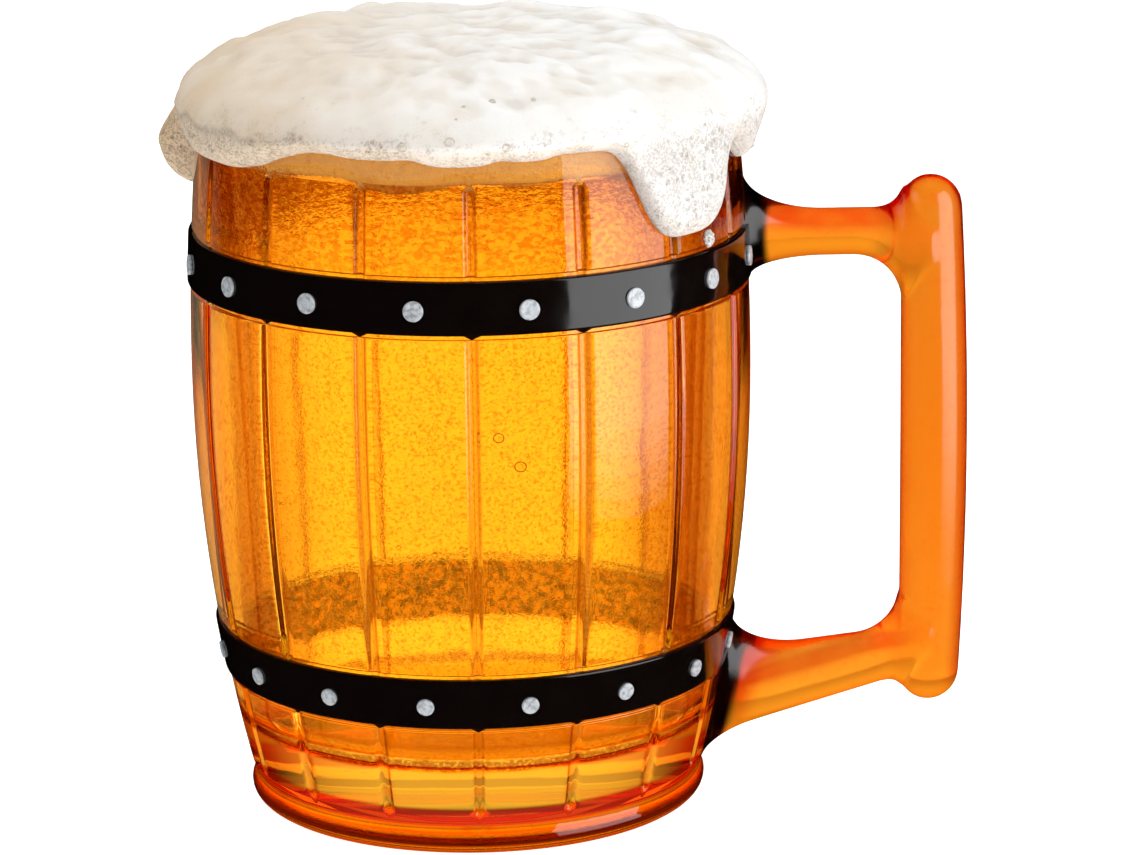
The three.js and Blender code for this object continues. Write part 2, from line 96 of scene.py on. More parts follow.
class MugSizes(bpy.types.PropertyGroup):
    """Sizes of the mug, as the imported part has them."""

    glass_height: length("From the table to the rim", 132)
    belly_level: length("Where the barrel is widest", 83)
    belly_radius: length("Widest radius of the staves", 52.1)
    upper_bilge: length("Radius of the side's arc above the belly", 462)
    lower_bilge: length("Radius of the side's arc below the belly", 318)
    foot_height: length("Height of the foot bead", 5.6)
    foot_bead: length("How far the foot stands out", 0.45)
    foot_neck: length("Depth of the waist above the foot", 0.4)
    heel_round: length("Round of the foot's lower edge", 2.5)
    base_thickness: length("Glass under the beer", 16)
    floor_wall: length("Wall just above the floor's round", 6)
    floor_round: length("Round of the cavity's floor", 6)
    rim_wall: length("Wall at the rim", 4.1)
    staves: whole("Number of staves", 16, 6, 32)
    groove_width: length("Width of the groove between two staves", 2.9)
    groove_depth: length("Depth of the groove between two staves", 0.85)
    groove_foot: length("Where the grooves start above the table", 7.4)
    groove_head: length("Where the grooves end below the rim", 6)
    upper_hoop_drop: length("From the rim to the upper hoop's middle", 27.6)
    lower_hoop_level: length("From the table to the lower hoop's middle", 30.5)
    hoop_width: length("Height of a hoop", 9.6)
    hoop_proud: length("How far a hoop stands out", 0.6)
    seat_depth: length("Depth of a hoop's seat in the glass", 0.5)
    seat_margin: length("Open seat along each edge of a hoop", 0.8)
    upper_rivet: length("Radius of a rivet on the upper hoop", 1.85)
    lower_rivet: length("Radius of a rivet on the lower hoop", 1.6)
    rivet_height: length("Height of a rivet's head", 0.5)
    rivet_drop: length("Rivets below the middle of their hoop", 0.3)


class HandleSizes(bpy.types.PropertyGroup):
    """Sizes of the handle."""

    finger_gap: length("Between the belly and the post", 28.2)
    post_radius: length("Radius of the post at mid height", 6.3)
    post_taper: length("Loss of radius towards the ends", 0.75)
    post_bow: length("How far the ends lie nearer the barrel", 0.9)
    post_top: length("Post above the upper arm", 6.1)
    post_bottom: length("Post below the lower arm", 4.8)
    arm_depth: length("Across the arms", 10)
    root_depth: length("Across the roots on the barrel", 14)
    upper_rise: length("Upper arm above its hoop's middle", 1.8)
    upper_thickness: length("Thickness of the upper arm", 8.8)
    lower_drop: length("Lower root below its hoop's middle", 13.4)
    lower_climb: length("Rise of the lower arm towards the post", 7.4)
    lower_root: length("Thickness of the lower arm at its root", 16)
    lower_thickness: length("Thickness of the lower arm at the post", 9.3)


class FillSizes(bpy.types.PropertyGroup):
    """Sizes of the beer and of its head of foam."""

    beer_drop: length("From the rim to the beer", 7)
    foam_top: length("Crown of the head above the rim, between its mounds", 12.6)
    foam_overhang: length("How far the head swells beyond the rim", 4.2)
    foam_swell: length("Widest part of the head above the rim", 1.5)
    foam_lip: length("Thickness of the foam that hangs over the glass", 2.6)
    lip_drop: length("Lower edge of the head below the rim", 1.2)
    lip_fade: length("Over which the head's swell thins out to its lip", 10)
    mounds: length("Height of the mounds on the crown", 1.9)
    billows: length("Height of the broad swells in the foam", 2.0)
    creases: length("Depth of the creases between the curds", 1.4)
    curds: length("Height of the small curds in the foam", 0.9)
    fizz_count: whole("Small bubbles on the inside of the glass", 900, 0, 2000)
    froth_count: whole("Larger bubbles in the foam", 90, 0, 400)


class MugFinish(bpy.types.PropertyGroup):
    """Colours of the mug, and of the painted shade, light and reflections on it."""

    glass: tint("Amber of the barrel's glass", (0.98, 0.80, 0.33))
    # Painted shade: the barrel's glass darker at a slant, in its grooves and on its right side.
    glass_edge_shade: tint("Barrel's glass seen at a slant", (0.49, 0.18, 0.06))
    glass_depth: tint("What the barrel's glass lets through", (0.99, 0.80, 0.22))
    handle: tint("Amber of the handle's glass", (0.58, 0.66, 0.18))
    # Painted shade: the handle's glass darker where it is seen at a slant.
    handle_edge_shade: tint("Handle's glass seen at a slant", (0.64, 0.28, 0.06))
    handle_depth: tint("What the handle's glass lets through", (0.995, 0.62, 0.12))
    # Painted shade: deeper red on the handle's top, its edges, a line along the lower arm and near the lower
    # root.
    handle_top_shade: tint("Handle's glass where it faces up", (0.36, 0.03, 0.01))
    # Painted glow, not a lamp: light given off by the handle's underside.
    handle_glow: tint("Light caught in the underside of the handle", (0.5, 0.2, 0.006))
    # Painted reflection: dark red in the barrel's glass where it mirrors the handle's black roots.
    painted_root_reflection: tint("Dark red where the glass shows the handle's black root", (0.16, 0.012, 0.006))
    sheen: tint("Pale light along the barrel's left edge", (0.07, 0.08, 0.05))
    # Painted shade and glow in the foot and base, standing in for light bent through the thick glass.
    foot_red: tint("Deep red of the waist above the foot", (0.95, 0.065, 0.05))
    foot_dark: tint("Dark line round the foot", (0.03, 0.002, 0.006))
    foot_red_glow: tint("Light caught in the waist above the foot", (0.24, 0.018, 0.008))
    base_stripe_shade: tint("Glass of the base under the beer", (0.25, 0.12, 0.03))
    base_glow: tint("Light caught in the base under the beer", (0.62, 0.34, 0.024))
    # Painted shade: a speckled dark red line on the outside, at the level of the cup floor's edge.
    cup_floor_line_shade: tint("Froth along the edge of the cup's floor", (0.3, 0.06, 0.01))
    cup_glow: tint("Light caught above the cup's floor", (0.26, 0.07, 0.0))
    beer: tint("Gold of the beer", (1.0, 0.91, 0.42))
    beer_depth: tint("What the beer lets through", (0.985, 0.80, 0.25))
    beer_speck: tint("Finest bubbles on the glass", (0.76, 0.38, 0.06))
    # Painted shade: the beer darker towards the top, under the foam.
    beer_top_shade: tint("Beer under the foam", (0.72, 0.42, 0.08))
    # Painted shade: dark mottling near the top, where the far hoop and the foam show through.
    beer_flake_shade: tint("Dark flakes under the foam", (0.5, 0.15, 0.01))
    fizz: tint("Film of the bubbles in the beer", (1.0, 1.0, 0.9))
    # Painted shade round the edge of each bubble in the beer.
    fizz_rim_shade: tint("Edge of the bubbles in the beer", (0.25, 0.08, 0.01))
    froth: tint("Film of the bubbles in the foam", (0.96, 0.94, 0.9))
    # Painted shade round the edge of each bubble in the foam.
    froth_rim_shade: tint("Edge of the bubbles in the foam", (0.6, 0.52, 0.42))
    enamel: tint("Black of the hoops", (0.0022, 0.0012, 0.001))
    # Painted glow, not a lamp: the backs of the hoops are brown and give off light.
    enamel_back: tint("Brown of the hoops seen through the glass", (0.58, 0.36, 0.05))
    rivet: tint("Silver of the rivets", (0.56, 0.59, 0.62))
    foam: tint("White of the foam", (0.90, 0.88, 0.84))
    # Painted shade: warm beige on the foam's left side, under it and in random patches.
    foam_shade: tint("Beige of the foam that the beer colours", (0.74, 0.6, 0.44))
    # Painted highlight: the foam's ridges are whiter.
    foam_ridge_highlight: tint("White of the foam's ridges", (0.97, 0.965, 0.95))
    foam_hollow: tint("Shade in the foam's hollows", (0.62, 0.54, 0.46))
    # Painted shade: the foam that has run down in front is greyer.
    foam_run_shade: tint("Foam that has run down in front", (0.70, 0.685, 0.67))
    # Painted shade: the foam that has run down behind is darker.
    foam_back_shade: tint("Foam that has run down behind", (0.70, 0.49, 0.27))
    # The finish also gives this foam a painted glow, not a lamp.
    soaked: tint("Foam that fills the glass above the beer", (0.95, 0.62, 0.42))
    pore: tint("Shade in the foam's pores", (0.34, 0.26, 0.21))
    floor: tint("White of the floor", (0.9, 0.9, 0.9))


class StageLook(bpy.types.PropertyGroup):
    """Camera and light."""

    lens: FloatProperty(description="Focal length of the camera", default=150.63, unit="CAMERA")
    distance: length("From the camera to its target", 894)
    elevation: turn("Camera above the horizon", 14.48)
    azimuth: turn("Camera away from the front", -1.34)
    roll: turn("Tilt of the camera", 0.69)
    floor_drop: length("Air between the foot and the floor", 0.3)
    floor_glow: amount("Light that the floor gives off", 1.0)
    sky: amount("Strength of the white surroundings", 0.6)
    key: amount("Power of the box light on the right, in watts", 1.15)
    side: amount("Power of the box light on matt faces, in watts", 0.52)
    top: amount("Power of the overhead light, in watts", 5.5)
    fill: amount("Power of the light above the camera, in watts", 5.6)


def clear_selection():
    """Leaves edit mode with nothing selected."""
    if bpy.context.mode != "OBJECT":
        bpy.ops.object.mode_set(mode="OBJECT")
    bpy.ops.object.select_all(action="DESELECT")


def choose(piece):
    """Makes one piece the only one selected and the active one."""
    clear_selection()
    piece.select_set(True)
    bpy.context.view_layer.objects.active = piece


def fresh(name, add, **settings):
    """A new piece from one of Blender's own shapes."""
    clear_selection()
    add(**settings)
    bpy.ops.object.transform_apply(location=True, rotation=True, scale=True)
    bpy.context.object.name = name
    return bpy.context.object


def duplicate(piece):
    """A copy of a piece with a mesh of its own."""
    copy = piece.copy()
    copy.data = piece.data.copy()
    bpy.context.scene.collection.objects.link(copy)
    return copy


def edit(piece):
    """Opens one piece for editing, with all of it deselected."""
    choose(piece)
    bpy.ops.object.mode_set(mode="EDIT")
    bpy.ops.mesh.select_mode(type="VERT")
    bpy.ops.mesh.select_all(action="DESELECT")


def select_all():
    """Selects all of the piece in edit mode."""
    bpy.ops.mesh.select_all(action="SELECT")


def pick(piece, test):
    """Selects the vertices of the piece in edit mode whose place passes a test."""
    bpy.ops.mesh.select_all(action="DESELECT")
    work = bmesh.from_edit_mesh(piece.data)
    for vertex in work.verts:
        vertex.select = test(vertex.co)
    work.select_flush_mode()
    bmesh.update_edit_mesh(piece.data)


def pick_faces(piece, test):
    """Selects the faces of the piece in edit mode whose normal passes a test."""
    bpy.ops.mesh.select_all(action="DESELECT")
    bpy.ops.mesh.select_mode(type="FACE")
    work = bmesh.from_edit_mesh(piece.data)
    for face in work.faces:
        face.select = test(face.normal)
    work.select_flush_mode()
    bmesh.update_edit_mesh(piece.data)


def draw_line(name, points):
    """A line of vertices through [radius, height] points, extruded from the first. Left in edit mode."""
    places = [Vector((radius, 0.0, height)) for radius, height in points]
    piece = fresh(name, bpy.ops.mesh.primitive_plane_add, size=MM)
    edit(piece)
    select_all()
    bpy.ops.mesh.merge(type="CENTER")
    bpy.ops.transform.translate(value=places[0])
    for start, end in zip(places, places[1:]):
        bpy.ops.mesh.extrude_vertices_move(TRANSFORM_OT_translate={"value": end - start})
    return piece


def spin(steps, angle, copies=False):
    """Spins what is selected about the barrel's axis, towards a growing angle from +X."""
    bpy.ops.mesh.spin(steps=steps, angle=-angle, dupli=copies, center=(0, 0, 0), axis=(0, 0, 1))


def close_up(piece, angle=40):
    """Merges doubles, turns faces outward, leaves edit mode and shades the piece smooth."""
    bpy.ops.mesh.select_mode(type="VERT")
    select_all()
    bpy.ops.mesh.remove_doubles(threshold=WELD)
    bpy.ops.mesh.normals_make_consistent(inside=False)
    choose(piece)
    bpy.ops.object.shade_smooth_by_angle(angle=math.radians(angle))


def revolve(name, points, steps):
    """A closed body of revolution from [radius, height] points."""
    piece = draw_line(name, points)
    select_all()
    spin(steps, math.tau)
    close_up(piece)
    return piece


def apply(piece, name, kind, **settings):
    """Adds a modifier with its settings and applies it."""
    choose(piece)
    modifier = piece.modifiers.new(name, kind)
    for key, value in settings.items():
        setattr(modifier, key, value)
    bpy.ops.object.modifier_apply(modifier=modifier.name)


def fuse(pieces):
    """Joins pieces into the first."""
    clear_selection()
    for piece in pieces:
        piece.select_set(True)
    bpy.context.view_layer.objects.active = pieces[0]
    bpy.ops.object.join()
    return pieces[0]


def settle(piece, slot, material, *nodes):
    """Gives a finished piece its material and body and hides the CAD nodes it stands for; slot is not used.
    """
    piece.data.materials.clear()
    piece.data.materials.append(material)
    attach(piece, BODY)
    if nodes:
        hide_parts(*nodes)
    clear_selection()


def line_inside(piece, material):
    """Gives the faces that look towards the axis a second material."""
    piece.data.materials.append(material)
    for face in piece.data.polygons:
        if face.normal.dot((face.center.x, face.center.y, 0)) < 0:
            face.material_index = 1


def around(bearing, radius, height):
    """A point at a bearing, counted from the front towards the handle."""
    return Vector((radius * math.sin(bearing), -radius * math.cos(bearing), height))


def spread(start, end, count):
    """Evenly spaced values from start to end, with a count of gaps between them."""
    return [start + (end - start) * i / count for i in range(count + 1)]


def arc(centre, size, start, end, steps):
    """Points of an arc, in degrees from +radius towards +height."""
    angles = [math.radians(degrees) for degrees in spread(start, end, steps)]
    return [(centre[0] + size * math.cos(a), centre[1] + size * math.sin(a)) for a in angles]


def rounded(corners, steps=4):
    """A line through [radius, height, cut] corners, each rounded from a cut before it to one after."""
    line = []
    for i, (radius, height, cut) in enumerate(corners):
        corner = Vector((radius, height))
        if not cut:
            line.append(corner)
            continue
        before = Vector(corners[i - 1][:2]) - corner
        after = Vector(corners[(i + 1) % len(corners)][:2]) - corner
        start = corner + before.normalized() * cut
        end = corner + after.normalized() * cut
        for k in range(steps + 1):
            t = k / steps
            line.append(start * (1 - t) ** 2 + corner * 2 * t * (1 - t) + end * t ** 2)
    return [tuple(point) for point in line]


def ease(value, low, high):
    """0 below low, 1 above high and smooth between."""
    t = min(1.0, max(0.0, (value - low) / (high - low)))
    return t * t * (3 - 2 * t)


def stave_radius(s, height):
    """Radius of the staves' face: two arcs that meet at the belly."""
    rise = height - s.belly_level
    bilge = s.upper_bilge if rise > 0 else s.lower_bilge
    return s.belly_radius - bilge + math.sqrt(bilge * bilge - rise * rise)


def stave_slope(s, height):
    """Change of the staves' radius with height."""
    rise = height - s.belly_level
    bilge = s.upper_bilge if rise > 0 else s.lower_bilge
    return -rise / math.sqrt(bilge * bilge - rise * rise)


def cavity_radius(s, height):
    """Radius of the straight-sided cavity."""
    foot = s.base_thickness + s.floor_round
    low = stave_radius(s, foot) - s.floor_wall
    high = stave_radius(s, s.glass_height) - s.rim_wall
    return low + (high - low) * (height - foot) / (s.glass_height - foot)


def rim_round(s):
    """Middle and radius of the rim's round."""
    rim = s.rim_wall / 2
    return (cavity_radius(s, s.glass_height) + rim, s.glass_height - rim), rim


def upper_hoop_level(s):
    """Middle of the upper hoop above the table."""
    return s.glass_height - s.upper_hoop_drop


def hoop_levels(s):
    """Middles of the upper and the lower hoop above the table."""
    return upper_hoop_level(s), s.lower_hoop_level


class Wire:
    """A socket of a finish; arithmetic on it adds Math nodes."""

    def __init__(self, finish, socket):
        self.finish = finish
        self.socket = socket

    def math(self, operation, *values):
        """The result of a Math node."""
        return self.finish.node("ShaderNodeMath", {"operation": operation}, dict(enumerate(values)))

    def __add__(self, other):
        return self.math("ADD", self, other)

    def __radd__(self, other):
        return self.math("ADD", other, self)

    def __sub__(self, other):
        return self.math("SUBTRACT", self, other)

    def __rsub__(self, other):
        return self.math("SUBTRACT", other, self)

    def __mul__(self, other):
        return self.math("MULTIPLY", self, other)

    def __rmul__(self, other):
        return self.math("MULTIPLY", other, self)


class Finish:
    """A material with one Principled shader, built from wires."""

    def __init__(self, name, **constants):
        self.material = bpy.data.materials.new(name)
        self.material.use_nodes = True
        self.tree = self.material.node_tree
        self.shader = self.tree.nodes["Principled BSDF"]
        self.output = self.tree.nodes["Material Output"]
        for key, value in constants.items():
            self.set(key.replace("_", " "), value)

    def set(self, socket, value):
        """Sets or links a socket of the shader."""
        self.fill(self.shader.inputs[socket], value)

    def fill(self, socket, value):
        """Links a wire to a socket, or sets its value; colours get an alpha of 1."""
        if isinstance(value, Wire):
            self.tree.links.new(value.socket, socket)
        elif hasattr(socket.default_value, "__len__") and len(socket.default_value) == 4:
            socket.default_value = (*value[:3], 1.0)
        else:
            socket.default_value = value

    def node(self, kind, settings=None, sockets=None, out=0):
        """Adds a node: its settings first, then its sockets. Returns one of its outputs."""
        node = self.tree.nodes.new(kind)
        for key, value in (settings or {}).items():
            setattr(node, key, value)
        for key, value in (sockets or {}).items():
            self.fill(node.inputs[key], value)
        return Wire(self, node.outputs[out])

    def place(self):
        """The point on the piece, in metres."""
        return self.node("ShaderNodeTexCoord", out="Object")

    def mark(self, name):
        """A number that the mesh notes on each of its points."""
        return self.node("ShaderNodeAttribute", {"attribute_name": name}, None, "Fac")

    def part(self, vector, axis):
        """One component of a vector."""
        return self.node("ShaderNodeSeparateXYZ", None, {0: vector}, axis)

    def slant(self):
        """0 where a face is seen straight on, 1 where it is seen from its side."""
        return self.node("ShaderNodeLayerWeight", None, {"Blend": 0.5}, "Facing")

    def noise(self, size, detail=2.0, roughness=0.5, place=None):
        """Cloudy noise with features of a size in metres."""
        sockets = {"Vector": place or self.place(), "Scale": 1 / size, "Detail": detail,
                   "Roughness": roughness}
        return self.node("ShaderNodeTexNoise", None, sockets, "Fac")

    def cells(self, size, place):
        """Distance to the middle of the nearest of a field of cells of a size in metres."""
        return self.node("ShaderNodeTexVoronoi", None, {"Vector": place, "Scale": 1 / size}, "Distance")

    def step(self, value, low, high, start=0.0, end=1.0):
        """Smooth change from start to end as a value goes from low to high."""
        sockets = {"Value": value, "From Min": low, "From Max": high, "To Min": start, "To Max": end}
        return self.node("ShaderNodeMapRange", {"interpolation_type": "SMOOTHSTEP"}, sockets, "Result")

    def mix(self, share, first, second):
        """A colour between two colours."""
        sockets = {"Factor": share, 6: first, 7: second}
        return self.node("ShaderNodeMix", {"data_type": "RGBA"}, sockets, 2)

    def coats(self, colour, *layers):
        """A colour under layers, each with its share and its colour."""
        for share, over in layers:
            colour = self.mix(share, colour, over)
        return colour

    def bump(self, height, distance=1.0):
        """A normal from a height, of which 1 stands for a distance in metres."""
        return self.node("ShaderNodeBump", None, {"Height": height, "Distance": distance}, "Normal")

    def absorb(self, colour, density):
        """Even absorption inside the piece."""
        volume = self.node("ShaderNodeVolumeAbsorption", None, {"Color": colour, "Density": density})
        self.tree.links.new(volume.socket, self.output.inputs["Volume"])


DARK = (0.0, 0.0, 0.0)
CUP_DRAFT = 0.0473
DARK_BAND = (1.8, 3.6)
RED_BAND = (5.6, 8.9)
BASE_BAND = (9.2, 16.7)
FLOOR_LINE_BAND = (16.9, 19.2)
CUP_BAND = (19.2, 25.5)
ROOT_REFLECTION_BAND = (110, 130)
FOLD_SHADE_BAND = (134.6, 136.0)
GLASS_DENSITY = 70
HANDLE_DENSITY = 330
BEER_DENSITY = 14
GLASS_BUMP = 0.05 * MM
HANDLE_BUMP = 0.12 * MM
HANDLE_FROST = 0.17
# Marks for the handle's painted shade, painted glow and painted black reflection on its roots.
HANDLE_MARKS = ("deep", "lit", "root")
GLASS_INDEX = 1.5
BEER_INDEX = 1.06
FIZZ_INDEX = 1.02
FROTH_INDEX = 1.25
FOAM_INDEX = 1.33


def scaled(colour, factor):
    """A colour made brighter or darker by a factor."""
    return tuple(factor * c for c in colour)


def flattened(f, place, share):
    """The place with its heights stretched, so that patterns lie flat."""
    return f.node("ShaderNodeVectorMath", {"operation": "MULTIPLY"}, {0: place, 1: (1.0, 1.0, share)})


def from_axis(f, place):
    """Distance from the barrel's axis, and height."""
    radius = f.node("ShaderNodeVectorMath", {"operation": "LENGTH"}, {0: flattened(f, place, 0.0)}, "Value")
    return radius, f.part(place, "Z")


def band(f, level, ends, soft=0.25 * MM):
    """1 between two levels in millimetres, with soft ends."""
    low, high = ends[0] * MM, ends[1] * MM
    return f.step(level, low - soft, low + soft) * f.step(level, high + soft, high - soft)


def barrel_detail(f, look, clear, facing):
    """Ripple inside the cup, and painted shade, glow and reflections in the barrel's glass and its foot."""
    place = f.place()
    radius, height = from_axis(f, place)
    groove = f.mark("groove")
    inside = f.step(radius - CUP_DRAFT * height, 42.2 * MM, 41.2 * MM)
    fine = f.noise(0.5 * MM, 2.0, 0.6, place) * (0.009 * MM)
    flakes = f.noise(1.1 * MM, 2.0, 0.6, flattened(f, place, 1.5)) * (0.11 * MM)
    ripple = inside * (fine + flakes * f.step(height, 100 * MM, 116 * MM))
    outside = f.step(radius, 40.6 * MM, 41.2 * MM)
    # Painted shade: the speckled dark line at the edge of the cup's floor.
    grain = f.noise(0.7 * MM, 2.0, 0.6, place)
    level = height + (f.noise(3 * MM, 2.0, place=place) - 0.5) * (1.6 * MM)
    froth = band(f, level, FLOOR_LINE_BAND) * outside * f.step(grain, 0.34, 0.5)
    # Painted shade: a red band round the foot and a dark line below it.
    red = band(f, height, RED_BAND) * f.step(groove, 0.3, 0.05)
    dark = band(f, height, DARK_BAND)
    across = f.part(place, "X")
    # Painted shade: the barrel's right side is darker.
    right = f.step(across, 22 * MM, 40 * MM) * outside * 0.4
    # Painted reflection of the handle's black roots: dark red strips on the barrel beside them.
    reflection_streaks = f.step(f.noise(1.6 * MM, 2.0, 0.5, flattened(f, place, 0.06)), 0.4, 0.52)
    root_reflection_mask = f.step(across, 42 * MM, 44 * MM) * band(f, height, ROOT_REFLECTION_BAND, 2 * MM) * outside
    # Painted light: a stripe in the base and a glow above the cup's floor.
    yellow = band(f, height, BASE_BAND, 0.5 * MM) * outside * facing * (1.0 - 0.5 * groove)
    amber = band(f, height, CUP_BAND, 0.6 * MM) * outside * facing
    sheen = (1.0 - facing) * f.step(across, -44 * MM, -49 * MM) * outside
    tinted = f.coats(
        clear,
        # Painted shade in the grooves and on the right side.
        (f.step(groove, 0.05, 0.5) * 0.5 + right, look.glass_edge_shade),
        (root_reflection_mask * reflection_streaks * 0.9, look.painted_root_reflection),
        (froth * 0.9, look.cup_floor_line_shade),
        (outside * red, look.foot_red),
        (outside * dark, look.foot_dark),
        (yellow * 0.8, look.base_stripe_shade))
    # Painted glow, not a lamp: the base's stripe, the cup's floor, the foot's red band and the left edge's
    # sheen.
    glow = f.coats(
        DARK,
        (yellow, look.base_glow),
        (amber, look.cup_glow),
        (outside * red * facing, look.foot_red_glow),
        (sheen, look.sheen))
    return tinted, glow, ripple


def handle_detail(f, look, clear, facing):
    """Painted black reflection on the roots, painted red shade on top and right, painted glow below."""
    deep, lit, root = (f.mark(name) for name in HANDLE_MARKS)
    uneven = f.step(f.noise(11 * MM, 2.0), 0.3, 0.7, 0.75, 1.0)
    tinted = f.mix(deep * uneven, clear, look.handle_top_shade)
    # Painted glow in the handle's underside, kept off its roots.
    glow = f.mix(lit * (1.0 - root), DARK, look.handle_glow)
    # Painted reflection: the roots take the hoop's black enamel, as the glass mirrors the hoop there.
    return f.mix(root, tinted, look.enamel), glow, 0.0


def glass_finish(name, look, colour, edge, depth, density, bump, frost, detail):
    """Pressed amber glass: clear, a little wavy, with painted shade at a slant, deeper in colour the thicker
    it is.
    """
    f = Finish(name, IOR=GLASS_INDEX, Transmission_Weight=1.0, Emission_Strength=1.0, Coat_Roughness=0.03,
               Coat_Weight=frost)
    waves = f.noise(9 * MM, 1.0)
    specks = f.noise(0.9 * MM, 2.0)
    slant = f.slant()
    # Painted shade: darker towards the edges, where the glass is seen at a slant. The specks are random.
    slant_shaded = f.mix(f.step(slant, 0.15, 0.6), colour, edge)
    clear = f.mix(f.step(specks, 0.58, 0.75) * 0.5, slant_shaded, edge)
    tinted, glow, ripple = detail(f, look, clear, f.step(slant, 0.7, 0.15))
    f.set("Base Color", tinted)
    f.set("Emission Color", glow)
    f.set("Roughness", f.step(f.noise(14 * MM, 3.0), 0.35, 0.7, frost, frost + 0.03))
    f.set("Normal", f.bump(waves * bump + ripple))
    f.absorb(depth, density)
    return f.material


def beer_finish(look):
    """Gold beer, clouded by the finest bubbles on the glass, with painted shade towards the top under the
    foam.
    """
    f = Finish("gold_beer", IOR=BEER_INDEX, Transmission_Weight=1.0, Roughness=0.0)
    place = f.place()
    height = f.part(place, "Z")
    grain = f.noise(0.62 * MM, 2.0, 0.6, place)
    cloud = f.noise(11 * MM, 2.0, place=place)
    speck = f.step(grain - 0.1 * cloud, 0.46, 0.6)
    # Painted shade: dark mottling below the foam, for the far hoop and foam seen through the beer.
    foil = f.step(f.noise(1.3 * MM, 2.0, 0.6, flattened(f, place, 1.5)), 0.4, 0.6)
    flakes = foil * f.step(height + 10 * MM * cloud, 108 * MM, 120 * MM)
    f.set("Base Color", f.coats(
        look.beer,
        (speck * 0.85, look.beer_speck),
        # Painted shade: darker towards the top, under the foam.
        (f.step(height, 96 * MM, 122 * MM) * 0.9, look.beer_top_shade),
        (flakes * 0.95, look.beer_flake_shade)))
    f.absorb(look.beer_depth, BEER_DENSITY)
    return f.material


def bubble_finish(name, ior, colour, ring):
    """Film of a bubble, with a ring of painted shade round it where it is seen at a slant."""
    f = Finish(name, IOR=ior, Transmission_Weight=1.0, Roughness=0.0)
    slant = f.slant()
    film = f.mix(f.noise(0.5 * MM), colour, scaled(colour, 0.94))
    f.set("Base Color", f.mix(f.step(slant, 0.3, 0.55), film, ring))
    return f.material


def enamel_finish(look):
    """Black enamel, poured thick and glossy."""
    f = Finish("hoop_enamel", IOR=GLASS_INDEX)
    cloud = f.noise(6 * MM, 3.0)
    f.set("Base Color", f.mix(cloud, look.enamel, scaled(look.enamel, 2)))
    f.set("Roughness", f.step(cloud, 0.3, 0.75, 0.06, 0.14))
    f.set("Normal", f.bump(f.noise(3.5 * MM, 1.0), 0.03 * MM))
    return f.material


def enamel_back_finish(look):
    """Back of the enamel, painted brown and glowing, for how it shows through the glass."""
    f = Finish("enamel_back", IOR=GLASS_INDEX, Specular_IOR_Level=0.1, Emission_Strength=1.8)
    fleck = f.noise(0.9 * MM, 3.0, 0.7)
    brown = f.mix(f.step(fleck, 0.44, 0.56), look.enamel_back, scaled(look.enamel_back, 0.16))
    f.set("Base Color", brown)
    f.set("Emission Color", brown)
    f.set("Roughness", f.step(fleck, 0.3, 0.7, 0.4, 0.7))
    return f.material


def rivet_finish(look):
    """Silver paint, dabbed on."""
    f = Finish("rivet_silver", IOR=GLASS_INDEX)
    mottle = f.noise(0.8 * MM, 3.0, 0.6)
    worn = f.step(mottle, 0.42, 0.66)
    f.set("Base Color", f.mix(worn, look.rivet, scaled(look.rivet, 0.6)))
    f.set("Roughness", f.step(mottle, 0.3, 0.7, 0.28, 0.5))
    f.set("Metallic", f.step(mottle, 0.35, 0.7, 0.05, 0.3))
    f.set("Normal", f.bump(mottle, 0.05 * MM))
    return f.material


